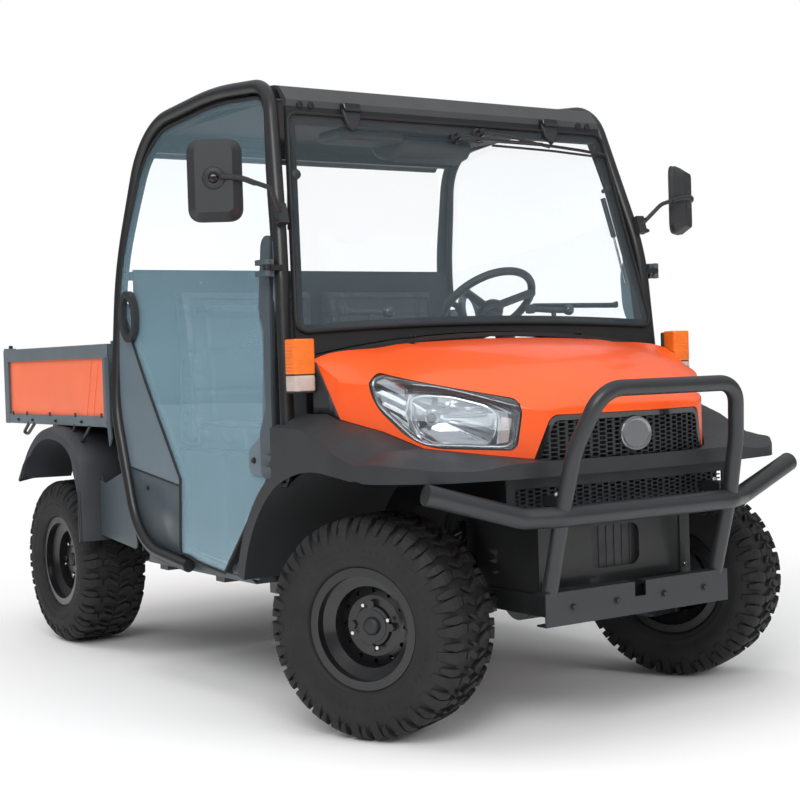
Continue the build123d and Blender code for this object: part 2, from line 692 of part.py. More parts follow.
with BuildPart() as hood:
    add(hood_skin)
    add(hood_hollow, mode=Mode.SUBTRACT)
    add(lamp_cut, mode=Mode.SUBTRACT)
    mirror(lamp_cut, about=Plane.XZ, mode=Mode.SUBTRACT)
    add(mouth_cut, mode=Mode.SUBTRACT)
    # notches in the rear edge for the hinge lugs
    with Locations(*[(FRONT_AXLE_X + HOOD_PIVOT_X - 6, side * HOOD_HINGE_Y, HOOD_PIVOT_Z) for side in (1, -1)]):
        Box(40, 12 + 2 * RUN, 120, mode=Mode.SUBTRACT)
    add(hood_ears.part)

with BuildPart() as lamp_box:
    with Locations((FRONT_AXLE_X + 170, -480, 900)):
        Box(520, 420, 300)
lamp_trim = lamp_box.part
lamp_back = hood_form(60)
with BuildPart() as headlamps:
    add(hood_form(2, HOOD_RIM_R - 2))
    add(lamp_back, mode=Mode.SUBTRACT)
    add(lamp_body, mode=Mode.INTERSECT)
    add(lamp_trim, mode=Mode.INTERSECT)
    mirror(about=Plane.XZ)

GRILLE_BACK = hood_plan(-14)
with BuildPart() as grille_upper:
    add(hood_plan(-3))
    add(GRILLE_BACK, mode=Mode.SUBTRACT)
    add(mouth_body, mode=Mode.INTERSECT)
    with BuildSketch(FACE.offset(250)):
        with GridLocations(76, 24, 7, 5):
            with Locations((0, 812)):
                SlotOverall(64, 13)
    extrude(amount=300, mode=Mode.SUBTRACT)

arch_centre = (0, TYRE_RADIUS)


def arch_ring(inner, outer, start, end):
    """Side-view band round the front wheel."""
    with BuildSketch() as ring:
        with BuildLine():
            a, b = radians(start), radians(end)
            CenterArc(arch_centre, inner, start, end - start)
            CenterArc(arch_centre, outer, start, end - start)
            Line((inner * cos(a), TYRE_RADIUS + inner * sin(a)), (outer * cos(a), TYRE_RADIUS + outer * sin(a)))
            Line((inner * cos(b), TYRE_RADIUS + inner * sin(b)), (outer * cos(b), TYRE_RADIUS + outer * sin(b)))
        make_face()
    return ring.sketch


fascia_outer = fascia_form(fascia_plan(0), 0)
fascia_inner = fascia_form(fascia_plan(SHEET), SHEET)
fascia_window = hood_plan(SEAM)
flare_leg = arch_ring(ARCH_R, ARCH_R + FLARE_W, 118, 168)
chin_plan = fascia_plan(2)
with BuildPart() as front_fascia:
    add(fascia_outer)
    add(fascia_inner, mode=Mode.SUBTRACT)
    add(fascia_window, mode=Mode.SUBTRACT)
    # rear legs of the flares
    for side in (1, -1):
        with BuildSketch(SIDE.offset(side * (FLARE_Y - 25))):
            add(flare_leg)
        extrude(amount=25, both=True)
    # wheel openings
    for side in (1, -1):
        with BuildSketch(SIDE.offset(side * 330)):
            with Locations(arch_centre):
                Circle(ARCH_R)
        extrude(amount=side * 600, mode=Mode.SUBTRACT)
    # notches round the cab pillars
    with Locations((FRONT_AXLE_X - 250, 727, 830), (FRONT_AXLE_X - 250, -727, 830)):
        Box(76, 74, 280, mode=Mode.SUBTRACT)
    # shelf and chin that carry the lower grille
    with BuildSketch(PLAN.offset(722)):
        add(chin_plan)
        with BuildLine():
            ThreePointArc((360, -470), (396, 0), (360, 470))
            Polyline((360, 470), (-400, 900), (-400, -900), (360, -470))
        make_face(mode=Mode.SUBTRACT)
        Rectangle(2000, 860, mode=Mode.INTERSECT)
    extrude(amount=SHEET)
    with BuildSketch(PLAN.offset(CHIN_Z)):
        with BuildLine():
            ThreePointArc((360, -470), (396, 0), (360, 470))
            ThreePointArc((366, -470), (402, 0), (366, 470))
            Line((360, -470), (366, -470))
            Line((360, 470), (366, 470))
        make_face()
        Rectangle(2000, 840, mode=Mode.INTERSECT)
    extrude(amount=118)
    with BuildSketch(FACE.offset(300)):
        with Locations((0, 655)):
            Rectangle(790, 70)
    extrude(amount=200, mode=Mode.SUBTRACT)

liner_band = arch_ring(ARCH_R, ARCH_R + SHEET, 66, 168)
with BuildPart(PLAN) as arch_liners:
    with BuildSketch(SIDE.offset(330)):
        add(liner_band)
    extrude(amount=740 - 330)
    mirror(about=Plane.XZ)

with BuildPart(PLAN) as grille_lower:
    with BuildSketch(PLAN.offset(621)):
        with BuildLine():
            ThreePointArc((352, -470), (388, 0), (352, 470))
            ThreePointArc((359.7, -470), (395.7, 0), (359.7, 470))
            Line((352, -470), (359.7, -470))
            Line((352, 470), (359.7, 470))
        make_face()
        Rectangle(2000, 820, mode=Mode.INTERSECT)
    extrude(amount=74)
    with BuildSketch(FACE.offset(300)):
        with Locations((0, 656)):
            with GridLocations(72, 17, 10, 4):
                SlotOverall(60, 10)
    extrude(amount=200, mode=Mode.SUBTRACT)

with BuildPart(PLAN) as turn_signals:
    with Locations((-152, -742, 1042)):
        Box(60, 74, 155)
    fillet(turn_signals.edges().filter_by(Axis.Z), 10)
    with Locations((-210.2, -726.3, 1040)):
        Box(60.4, 16, 36)
    mirror(about=Plane.XZ)

# right-hand mirror's rim: turned towards the driver, with its outer end further back
MIRROR_FACE = Plane((FRONT_AXLE_X - 300, -917.4, 1580), x_dir=(0.53, 0.848, 0), z_dir=(0.848, -0.53, 0))
with BuildPart() as mirrors:
    with BuildSketch(MIRROR_FACE):
        RectangleRounded(155, 235, 40)
    extrude(amount=-14)
    with BuildSketch(MIRROR_FACE):
        RectangleRounded(155, 235, 40)
    extrude(amount=34, taper=35)
    with BuildLine(PLAN) as arm:
        FilletPolyline((-280, -716, 1488), (-236, -770, 1556), (-240, -870, 1584), (-285, -918, 1588),
                       radius=[30, 20])
    with BuildSketch(Plane(origin=arm.line @ 0, z_dir=arm.line % 0)):
        Circle(7)
    sweep()
    with Locations((FRONT_AXLE_X - 282.4, -712, 1487.4)):
        Box(22, 34, 60, rotation=(0, -16.9, 0))
    mirror(about=Plane.XZ)

# ---- rear bodywork ----
# points of the rear fender, from the rear axle
FENDER = [(355, 418), (355, 790), (85, 832), (-135, 755), (-265, 615)]
with BuildPart() as rear_fenders:
    with BuildSketch(SIDE.offset(560)):
        with BuildLine():
            FilletPolyline(*[(REAR_X + x, z) for x, z in FENDER], radius=[150, 200, 200])
            offset(amount=3, side=Side.BOTH)
        make_face()
    extrude(amount=225)
    # struts from the chassis rails
    for x, z, inner in [(339, 550, RAIL_Y), (-105, 751, RAIL_Y + 20)]:
        with Locations((FRONT_AXLE_X + REAR_X + x, -(inner + 600) / 2, z)):
            Box(26, 600 - inner, 20)
    mirror(about=Plane.XZ)

with BuildPart(PLAN) as side_panels:
    with BuildSketch(SIDE.offset(700)):
        with BuildLine():
            FilletPolyline((-1680, 733), (-1660, 624), (-1440, 690), (-1370, 409), (-1684, 440),
                           radius=[10, 30, 30, 20, 10], close=True)
        make_face()
    extrude(amount=SHEET)
    # bracket from the chassis post
    with Locations((-1510, -(RAIL_Y + 20.3 + 700) / 2, 610)):
        Box(30, 700 - RAIL_Y - 20.3, 16)
    mirror(about=Plane.XZ)

# ---- cargo bed ----
with BuildPart(PLAN) as bed:
    with Locations(((BED_FRONT + BED_REAR) / 2 + 15, 0, BED_Z + 6)):
        Box(BED_FRONT - BED_REAR - 30, 2 * BED_Y - 30, 12)
    with Locations((BED_FRONT - 6, 0, (BED_Z + 1150) / 2)):
        Box(12, 2 * BED_Y - 30, 1150 - BED_Z)
    for side in (1, -1):
        with Locations(((BED_FRONT + BED_REAR) / 2, side * (BED_Y - 12), BED_TOP - 15)):
            Box(BED_FRONT - BED_REAR, 24, 30)
        for x in (BED_FRONT - 20, BED_REAR + 20):
            with Locations((x, side * (BED_Y - 12), (BED_Z + BED_TOP) / 2)):
                Box(40, 24, BED_TOP - BED_Z)
        with Locations((BED_REAR + 8, side * (BED_Y - 15), TAILGATE_Z)):
            Cylinder(TAILGATE_PIN_R + HINGE_FIT, 40, rotation=(90, 0, 0), mode=Mode.SUBTRACT)
        with Locations(((BED_FRONT - 40 + BED_REAR + 60) / 2, side * 500, 820)):
            Box(900, 60, 42)
        for x in (-1600, -1850, -2090, -2480):
            with Locations((x, side * 310, 826)):
                Box(50, 480, 30)
        with BuildSketch(SIDE.offset(side * (RAIL_Y + 22))):
            with BuildLine():
                Polyline((-2340, 841), (-2440, 841), (-2428, 765), (-2400, 752), (-2372, 765), close=True)
            make_face()
        extrude(amount=side * 16)
        with Locations((BED_PIVOT_X, side * (RAIL_Y + 12), BED_PIVOT_Z)):
            Cylinder(12, 40, rotation=(90, 0, 0))
    # ears round the lift rod's pin, open so that the pin floats
    for step in (-30, 30):
        with BuildSketch(SIDE.offset(-(LIFT_Y + step))):
            with BuildLine():
                Polyline((LIFT_EYE[0] - 60, BED_Z), (LIFT_EYE[0] - 36, LIFT_EYE[1] - 36),
                         (LIFT_EYE[0] + 36, LIFT_EYE[1] - 36), (LIFT_EYE[0] + 60, BED_Z), close=True)
            make_face()
            with Locations(LIFT_EYE):
                Circle(LIFT_SLOT_R, mode=Mode.SUBTRACT)
        extrude(amount=5, both=True)

with BuildPart(PLAN) as bed_side_panels:
    for side in (1, -1):
        with Locations(((BED_FRONT + BED_REAR) / 2, side * (BED_Y - 10), (BED_Z + BED_TOP - 30) / 2)):
            Box(BED_FRONT - BED_REAR - 80, 10, BED_TOP - 30 - BED_Z)
        with BuildSketch(SIDE.offset(side * (BED_Y - 8))):
            for x in (BED_FRONT - 190, BED_FRONT - 250):
                with BuildLine():
                    Polyline((x, BED_Z + 16), (x + 24, BED_Z + 16), (x + 94, BED_TOP - 46), (x + 70, BED_TOP - 46),
                             close=True)
                make_face()
        extrude(amount=side * 5)

with BuildPart(PLAN) as tailgate:
    with Locations((BED_REAR + 8, 0, (BED_Z + 4 + BED_TOP) / 2)):
        Box(16, 2 * BED_Y - 60, BED_TOP - BED_Z - 4)
    for side in (1, -1):
        with Locations((BED_REAR + 8, side * (BED_Y - 22), TAILGATE_Z)):
            Cylinder(TAILGATE_PIN_R, 34, rotation=(90, 0, 0))

lift_len = hypot(LIFT_EYE[0] - LIFT_BASE[0], LIFT_EYE[1] - LIFT_BASE[1])
lift_plane = Plane((FRONT_AXLE_X + LIFT_BASE[0], LIFT_Y, LIFT_BASE[1]), x_dir=(0, 1, 0),
                   z_dir=(LIFT_EYE[0] - LIFT_BASE[0], 0, LIFT_EYE[1] - LIFT_BASE[1]))
with BuildPart() as lift_barrel:
    with BuildSketch(lift_plane.offset(30)):
        Circle(28)
    extrude(amount=lift_len - 130)
    with BuildSketch(lift_plane.offset(lift_len - 100 - 70)):
        Circle(23)
    extrude(amount=-(lift_len - 210), mode=Mode.SUBTRACT)
    with BuildSketch(lift_plane.offset(lift_len - 170)):
        Circle(15)
    extrude(amount=200, mode=Mode.SUBTRACT)
    with BuildSketch(Plane(lift_plane.origin, x_dir=lift_plane.z_dir, z_dir=(0, 1, 0))):
        Circle(26)
        with Locations((20, 0)):
            Rectangle(40, 44)
        Circle(11, mode=Mode.SUBTRACT)
    extrude(amount=18, both=True)

with BuildPart() as lift_rod:
    with BuildSketch(lift_plane.offset(60)):
        Circle(14)
    extrude(amount=lift_len - 78)
    with BuildSketch(lift_plane.offset(60)):
        Circle(22)
    extrude(amount=24)
    with BuildSketch(Plane(lift_plane.offset(lift_len).origin, x_dir=lift_plane.z_dir, z_dir=(0, 1, 0))):
        Circle(24)
    extrude(amount=16, both=True)
    with BuildSketch(Plane(lift_plane.offset(lift_len).origin, x_dir=lift_plane.z_dir, z_dir=(0, 1, 0))):
        Circle(10)
    extrude(amount=38, both=True)

# ---- wheels ----
with BuildPart() as rim:
    with BuildSketch(Plane.XZ):
        with BuildLine():
            Polyline((120, -60), (120, 60), (RIM_BEAD_RADIUS, 75), (RIM_BEAD_RADIUS, 98), (RIM_FLANGE_RADIUS, 100),
                     (RIM_FLANGE_RADIUS, RIM_HALF_WIDTH), (146, RIM_HALF_WIDTH), (146, 79),
                     (114, 64), (114, 30), (85, 42), (60, 42), (55, 50), (HUB_RADIUS, 50), (HUB_RADIUS, 42),
                     (55, 34), (85, 34), (114, 20), (114, -64), (146, -79), (146, -RIM_HALF_WIDTH),
                     (RIM_FLANGE_RADIUS, -RIM_HALF_WIDTH), (RIM_FLANGE_RADIUS, -100), (RIM_BEAD_RADIUS, -98),
                     (RIM_BEAD_RADIUS, -75), close=True)
        make_face()
    revolve(axis=Axis.Z)
    with PolarLocations(100, 12):
        Cylinder(7, 200, mode=Mode.SUBTRACT)
    with BuildSketch(Plane.XY.offset(34)):
        Circle(HUB_RADIUS)
    extrude(amount=18)
    with BuildSketch(Plane.XY.offset(42)):
        with PolarLocations(62, 4):
            RegularPolygon(12, 6)
    extrude(amount=16)

with BuildPart() as shoulder_lug:
    with BuildSketch(Plane.XZ):
        with BuildLine():
            edge = TYRE_WIDTH / 2
            Polyline((TYRE_RADIUS - 24, 62), (TYRE_RADIUS, 62), (TYRE_RADIUS, 94), (TYRE_RADIUS - 9, 116),
                     (TYRE_RADIUS - 28, edge - 3), (TYRE_RADIUS - 50, edge - 4), (TYRE_RADIUS - 50, 104), close=True)
        make_face()
    extrude(amount=LUG_WIDTH / 2, both=True)
inner_lug = mirror(shoulder_lug.part, about=Plane.XY)
with BuildPart() as chevron_lug:
    with BuildSketch(Plane.YZ.offset(TYRE_RADIUS - 20)):
        with BuildLine():
            Polyline((-26, -52), (-2, -52), (20, 0), (-2, 52), (-26, 52), (-6, 0), close=True)
        make_face()
    extrude(amount=20)

with BuildPart() as tyre:
    with BuildSketch(Plane.XZ):
        with BuildLine():
            half = TYRE_WIDTH / 2
            tread = TYRE_RADIUS - LUG_HEIGHT
            Polyline((RIM_BEAD_RADIUS, 76), (RIM_BEAD_RADIUS, 97.6), (171, 99.6), (171.5, 106), (178, 113))
            ThreePointArc((178, 113), (235, half), (tread - 20, 114))
            Polyline((tread - 20, 114), (tread - 4, 92), (tread, 60), (tread, -60), (tread - 4, -92),
                     (tread - 20, -114))
            ThreePointArc((tread - 20, -114), (235, -half), (178, -113))
            Polyline((178, -113), (171.5, -106), (171, -99.6), (RIM_BEAD_RADIUS, -97.6), (RIM_BEAD_RADIUS, -76),
                     (270, -90), (270, 90), (RIM_BEAD_RADIUS, 76))
        make_face()
    revolve(axis=Axis.Z)
    with PolarLocations(0, LUG_COUNT):
        add(shoulder_lug.part)
        add(chevron_lug.part)
    with PolarLocations(0, LUG_COUNT, start_angle=180 / LUG_COUNT):
        add(inner_lug)

# name, distance ahead of the front axle, side, steer at rest
WHEELS = [("front_right", 0, -1, STEER_REST), ("front_left", 0, 1, STEER_REST),
          ("rear_right", REAR_X, -1, 0), ("rear_left", REAR_X, 1, 0)]
wheel_parts = {}
for name, x, side, steer in WHEELS:
    place = wheel_plane(x, side, steer).location
    with BuildPart() as fitted_rim:
        with Locations(place):
            add(rim.part)
    with BuildPart() as fitted_tyre:
        with Locations(place):
            add(tyre.part)
    wheel_parts[f"rim_{name}"] = fitted_rim
    wheel_parts[f"tyre_{name}"] = fitted_tyre

knuckle_parts = {}
for name, side in (("right", -1), ("left", 1)):
    plane = wheel_plane(0, side, STEER_REST)
    with BuildPart() as knuckle:
        with BuildSketch(plane.offset(-KINGPIN_OFFSET - 20)):
            Rectangle(170, 56)
        extrude(amount=30)
        with BuildSketch(plane.offset(-KINGPIN_OFFSET)):
            Circle(32)
        extrude(amount=KINGPIN_OFFSET + HUB_SEAT)
        with BuildSketch(plane.offset(-40)):
            Circle(95)
        extrude(amount=40)
    knuckle_parts[f"knuckle_{name}"] = knuckle

# ---- left-hand copies ----
with BuildPart() as door_left_glass:
    mirror(door_right_glass.part, about=Plane.XZ)
with BuildPart() as door_left_frame:
    mirror(door_right_frame.part, about=Plane.XZ)
with BuildPart() as door_left_hinge:
    mirror(door_right_hinge.part, about=Plane.XZ)
with BuildPart() as door_left_handle:
    mirror(door_right_handle.part, about=Plane.XZ)

pieces = dict(
    frame=frame, brush_guard=brush_guard, front_suspension=front_suspension, rear_axle=rear_axle, engine=engine,
    muffler=muffler, cab_frame=cab_frame, roof=roof, headliner=headliner, quarter_panels=quarter_panels,
    rockers=rockers, floor_pan=floor_pan, rear_wall=rear_wall, rear_glass=rear_glass, windshield=windshield,
    windshield_frame=windshield_frame, cowl=cowl, dashboard=dashboard, seat_box=seat_box,
    steering_column=steering_column, steering_wheel=steering_wheel, front_fascia=front_fascia,
    arch_liners=arch_liners, grille_lower=grille_lower, turn_signals=turn_signals, mirrors=mirrors,
    hood=hood, headlamps=headlamps, grille_upper=grille_upper,
    door_right_glass=door_right_glass, door_right_frame=door_right_frame, door_right_hinge=door_right_hinge,
    door_right_handle=door_right_handle, door_left_glass=door_left_glass, door_left_frame=door_left_frame,
    door_left_hinge=door_left_hinge, door_left_handle=door_left_handle,
    rear_fenders=rear_fenders, side_panels=side_panels, bed=bed, bed_side_panels=bed_side_panels,
    tailgate=tailgate, lift_barrel=lift_barrel, lift_rod=lift_rod)
pieces.update(seat_parts)
pieces.update(wheel_parts)
pieces.update(knuckle_parts)

for label, piece in pieces.items():
    piece.part.label = label
    export_step(piece.part, f"parts/{label}.step")
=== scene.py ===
"""Looks of the cabbed utility side-by-side: finishes, tread, glass, lamps, trim, seats and the studio.

Points are in millimetres from the front axle line (X forward, Y left, Z up from the ground),
and P() turns them into the row frame in metres.
"""
import json
from math import cos, hypot, pi, radians, sin

import bmesh
import bpy
from mathutils import Matrix, Vector
from mathutils.bvhtree import BVHTree


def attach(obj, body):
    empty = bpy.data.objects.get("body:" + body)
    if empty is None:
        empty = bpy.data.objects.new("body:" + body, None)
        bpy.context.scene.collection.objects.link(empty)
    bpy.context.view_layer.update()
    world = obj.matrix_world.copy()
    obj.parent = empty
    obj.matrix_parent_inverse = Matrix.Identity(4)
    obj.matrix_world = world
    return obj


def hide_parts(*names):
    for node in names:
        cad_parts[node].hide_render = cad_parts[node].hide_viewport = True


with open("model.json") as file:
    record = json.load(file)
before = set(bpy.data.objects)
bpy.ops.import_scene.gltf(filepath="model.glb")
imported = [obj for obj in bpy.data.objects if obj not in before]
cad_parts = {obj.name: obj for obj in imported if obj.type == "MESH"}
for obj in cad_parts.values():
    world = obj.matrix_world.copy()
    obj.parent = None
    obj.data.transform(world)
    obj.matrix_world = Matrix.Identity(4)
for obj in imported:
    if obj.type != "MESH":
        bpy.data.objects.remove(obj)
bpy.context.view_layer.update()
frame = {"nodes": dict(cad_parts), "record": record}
nodes = frame["nodes"]

FRONT_AXLE_X = 963.8
WHEELBASE = 2045.0
TYRE_RADIUS = 312.0
STEER_REST = 24.7
KINGPIN_Y, KINGPIN_OFFSET, HALF_TRACK = 547.0, 70.0, 617.0
SIDES = ((1, "left"), (-1, "right"))


def P(x, y, z):
    """Millimetres from the front axle line, as a point of the row frame."""
    return Vector(((FRONT_AXLE_X + x) / 1000, y / 1000, z / 1000))


# ---- materials ----
M = {}
COAT_ROUGH = 0.04
# heights in metres where a pane's tint is full and where it is at its thinnest, and the share left there
# the pane darkening towards its top is painted shade of the cab under the roof
VEIL_SHADE_START, VEIL_SHADE_TOP, VEIL_SHADE_SHARE = 1.1, 1.8, 0.32


def add_node(tree, kind, **values):
    """Shader node with some inputs set; an underscore stands for a space in an input's name."""
    made = tree.nodes.new("ShaderNode" + kind)
    for key, value in values.items():
        made.inputs[key.replace("_", " ")].default_value = value
    return made


def mix(tree, factor, first, second):
    """Mix of two shaders by a number or a socket."""
    made = tree.nodes.new("ShaderNodeMixShader")
    if isinstance(factor, float):
        made.inputs["Fac"].default_value = factor
    else:
        tree.links.new(factor, made.inputs["Fac"])
    tree.links.new(first, made.inputs[1])
    tree.links.new(second, made.inputs[2])
    return made.outputs[0]


def maths(tree, operation, first, second):
    """Result of an operation on two sockets."""
    made = tree.nodes.new("ShaderNodeMath")
    made.operation = operation
    tree.links.new(first, made.inputs[0])
    tree.links.new(second, made.inputs[1])
    return made.outputs[0]


def height_of(tree, space):
    """Third coordinate in a texture space."""
    where, parts = add_node(tree, "TexCoord"), add_node(tree, "SeparateXYZ")
    tree.links.new(where.outputs[space], parts.inputs[0])
    return parts.outputs["Z"]


def new_material(name):
    """Material with its node tree and its main shader."""
    made = bpy.data.materials.new(name)
    made.use_nodes = True
    return made, made.node_tree, made.node_tree.nodes["Principled BSDF"]


def noise(tree, scale, detail, kind="TexNoise"):
    """Texture laid out in the object's own space."""
    where, texture = add_node(tree, "TexCoord"), add_node(tree, kind, Scale=scale, Detail=detail)
    tree.links.new(where.outputs["Object"], texture.inputs["Vector"])
    return texture


def ramp(tree, value, low, high, start=0.3, end=0.7):
    """Colour that goes from low to high between two values."""
    made = add_node(tree, "ValToRGB")
    for stop, place_at, color in zip(made.color_ramp.elements, (start, end), (low, high)):
        stop.position, stop.color = place_at, (*color, 1)
    tree.links.new(value, made.inputs["Fac"])
    return made.outputs["Color"]


def finish(name, color, rough, metal=0.0, coat=0.0, mottle=0.12, mottle_scale=9.0, rough_spread=0.06,
           grain=500.0, depth=0.0001, cells=False, strength=0.5):
    """A moulded, painted or cast surface: mottled colour, uneven roughness and a fine grain."""
    M[name], tree, shader = new_material(name)
    link = tree.links.new
    low, high = [c * (1 - mottle) for c in color], [min(c * (1 + mottle), 1) for c in color]
    link(ramp(tree, noise(tree, mottle_scale, 6.0).outputs["Fac"], low, high), shader.inputs["Base Color"])
    spread = add_node(tree, "MapRange", To_Min=rough - rough_spread, To_Max=rough + rough_spread)
    link(noise(tree, mottle_scale * 4, 8.0).outputs["Fac"], spread.inputs["Value"])
    link(spread.outputs["Result"], shader.inputs["Roughness"])
    shader.inputs["Metallic"].default_value = metal
    shader.inputs["Coat Weight"].default_value = coat
    shader.inputs["Coat Roughness"].default_value = COAT_ROUGH
    bump = add_node(tree, "Bump", Strength=strength, Distance=depth)
    skin = noise(tree, grain, 3.0, "TexVoronoi" if cells else "TexNoise")
    link(skin.outputs["Distance" if cells else "Fac"], bump.inputs["Height"])
    link(bump.outputs["Normal"], shader.inputs["Normal"])


def glass(name, tint, shine=0.05, clear=(1.0, 1.0, 1.0)):
    """Thin tinted pane: what lies behind it, a veil of its tint over that, and a clean reflection."""
    M[name], tree, shader = new_material(name)
    tree.nodes.remove(shader)
    link = tree.links.new
    veil, both = add_node(tree, "BsdfDiffuse"), add_node(tree, "AddShader")
    # the veil thins out towards the top of the pane, so the top is darker: painted shade of the cab under the
    # roof
    height = add_node(tree, "MapRange", From_Min=VEIL_SHADE_START, From_Max=VEIL_SHADE_TOP)
    link(height_of(tree, "Object"), height.inputs["Value"])
    link(ramp(tree, height.outputs["Result"], tint, [c * VEIL_SHADE_SHARE for c in tint], 0.0, 1.0),
         veil.inputs["Color"])
    link(add_node(tree, "BsdfTransparent", Color=(*clear, 1)).outputs[0], both.inputs[0])
    link(veil.outputs[0], both.inputs[1])
    mirror = add_node(tree, "BsdfGlossy", Roughness=0.03, Color=(0.8, 0.9, 0.95, 1))
    link(mix(tree, shine, both.outputs[0], mirror.outputs[0]),
         tree.nodes["Material Output"].inputs["Surface"])


finish("orange_paint", (0.96, 0.1, 0.008), 0.34, coat=0.3, mottle=0.03, rough_spread=0.015, grain=60,
       depth=0.000005)
# paler copy of the orange paint on the bed sides and tailgate: a painted highlight
finish("orange_bed_painted_highlight", (0.93, 0.19, 0.085), 0.42, coat=0.1, mottle=0.03, rough_spread=0.04, grain=300,
       depth=0.00004)
finish("black_steel", (0.014, 0.0145, 0.0155), 0.4, coat=0.2, grain=420, depth=0.0001)
finish("guard_steel", (0.022, 0.0235, 0.026), 0.42, coat=0.15, mottle=0.07, grain=700, depth=0.00015)
finish("engine_metal", (0.09, 0.09, 0.095), 0.6, metal=0.6, mottle=0.3, grain=160, depth=0.0006)
finish("bright_steel", (0.7, 0.7, 0.72), 0.16, metal=1.0, mottle=0.05, grain=900, depth=0.00002)
finish("roof_panel", (0.05, 0.053, 0.056), 0.62, coat=0.0, mottle=0.08, grain=500, cells=True, depth=0.0001)
# near-black plastic, darkened further as painted shade inside the cab
finish("cabin_plastic", (0.017, 0.0195, 0.0215), 0.55, grain=650, cells=True, depth=0.0002)
finish("grey_panel", (0.06, 0.08, 0.094), 0.42, coat=0.12, mottle=0.05, grain=520, cells=True, depth=0.0001)
finish("quarter_grey", (0.12, 0.16, 0.19), 0.42, coat=0.1, mottle=0.05, grain=520, cells=True, depth=0.0001)
finish("fender_plastic", (0.045, 0.049, 0.056), 0.5, mottle=0.1, grain=560, cells=True, depth=0.0002)
glass("tinted_glass", (0.075, 0.125, 0.15))
glass("clear_glass", (0.018, 0.026, 0.03), 0.03)
glass("lamp_clear", (0.02, 0.021, 0.022), 0.06, (0.93, 0.94, 0.95))
finish("seal_rubber", (0.012, 0.012, 0.013), 0.6, grain=400, depth=0.0002)
finish("black_plastic", (0.023, 0.0245, 0.027), 0.52, mottle=0.1, grain=560, cells=True, depth=0.00022)
finish("gloss_black", (0.01, 0.01, 0.011), 0.2, coat=0.6, mottle=0.05, grain=300, depth=0.00003)
# near-black vinyl, darkened further as painted shade inside the cab
finish("seat_vinyl", (0.03, 0.034, 0.038), 0.52, mottle=0.14, grain=380, cells=True, depth=0.0004,
       strength=0.7)
finish("lamp_amber", (0.86, 0.17, 0.012), 0.22, coat=0.5, mottle=0.08, mottle_scale=40, grain=120,
       depth=0.0008)
finish("lamp_white", (0.52, 0.42, 0.38), 0.22, coat=0.5, mottle=0.08, mottle_scale=40, grain=120,
       depth=0.0008)
finish("bed_steel", (0.115, 0.14, 0.16), 0.45, coat=0.1, mottle=0.08, grain=500, depth=0.0001)
finish("rim_paint", (0.009, 0.009, 0.01), 0.3, coat=0.35, mottle=0.1, grain=300, depth=0.00006)
finish("tyre", (0.012, 0.012, 0.013), 0.72, mottle=0.3, mottle_scale=14, grain=330, depth=0.0005,
       strength=0.7)
finish("chrome", (0.86, 0.87, 0.88), 0.08, metal=1.0, mottle=0.03, rough_spread=0.03, grain=60, depth=0.00004)
finish("lamp_grey", (0.3, 0.31, 0.32), 0.25, metal=0.8, mottle=0.06, grain=200, depth=0.00005)
finish("mirror_glass", (0.8, 0.83, 0.85), 0.04, metal=1.0, mottle=0.02, rough_spread=0.01, grain=40,
       depth=0.00001)

# CAD nodes whose finish isn't named as their slot
NODE_FINISH = {"quarter_panels": "quarter_grey", "windshield": "clear_glass", "rear_glass": "clear_glass",
               "bed_side_panels": "orange_bed_painted_highlight", "tailgate": "orange_bed_painted_highlight"}
for part in frame["record"]["subparts"]:
    data = nodes[part["node"]].data
    data.materials.clear()
    data.materials.append(M[NODE_FINISH.get(part["node"], part["material_slot"])])


# ---- mesh helpers ----
def place(obj, body, material, slot=None):
    """Give a piece its material and its body; the slot, which is the material's name unless it is given, is
    not used.
    """
    slot = slot or material
    obj.data.materials.clear()
    obj.data.materials.append(M[material])
    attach(obj, body)
    return obj


def link_object(name, data):
    obj = bpy.data.objects.new(name, data)
    bpy.context.scene.collection.objects.link(obj)
    return obj


def bevel_edges(obj, width, segments=2, angle=30):
    """Round the sharp edges; the width is in millimetres."""
    edge = obj.modifiers.new("edge", "BEVEL")
    edge.width, edge.segments = width / 1000, segments
    edge.limit_method, edge.angle_limit = "ANGLE", radians(angle)


def thicken(obj, thick):
    """Wall grown inwards from a skin, in millimetres."""
    wall = obj.modifiers.new("wall", "SOLIDIFY")
    wall.thickness, wall.offset = thick / 1000, -1


def raw_mesh(name, points, faces, merge=True):
    """Mesh object with its faces turned outwards, not yet on a body."""
    data = bpy.data.meshes.new(name)
    data.from_pydata([tuple(p) for p in points], [], faces)
    work = bmesh.new()
    work.from_mesh(data)
    if merge:
        bmesh.ops.remove_doubles(work, verts=work.verts, dist=1e-6)
    bmesh.ops.recalc_face_normals(work, faces=work.faces)
    work.to_mesh(data)
    work.free()
    return link_object(name, data)


def add_mesh(name, points, faces, body, material, slot=None, bevel=0.0, smooth=True, angle=35):
    """Finished piece from points in row metres: bevel in millimetres, smooth up to an angle in degrees."""
    obj = raw_mesh(name, points, faces)
    if bevel:
        bevel_edges(obj, bevel)
    if smooth:
        for poly in obj.data.polygons:
            poly.use_smooth = True
        obj.data.set_sharp_from_angle(angle=radians(angle))
    return place(obj, body, material, slot)


def loft_faces(rows, n, closed=True):
    """Quads between rows of n points each."""
    return [[i * n + k, i * n + (k + 1) % n, (i + 1) * n + (k + 1) % n, (i + 1) * n + k]
            for i in range(rows - 1) for k in range(n if closed else n - 1)]


def end_faces(n, turned=False):
    """The two ends of a prism with n corners, turned over if asked, and its sides."""
    ends = [list(range(n))[::-1], list(range(n, 2 * n))]
    sides = [[i, (i + 1) % n, n + (i + 1) % n, n + i] for i in range(n)]
    return ([end[::-1] for end in ends] if turned else ends) + sides


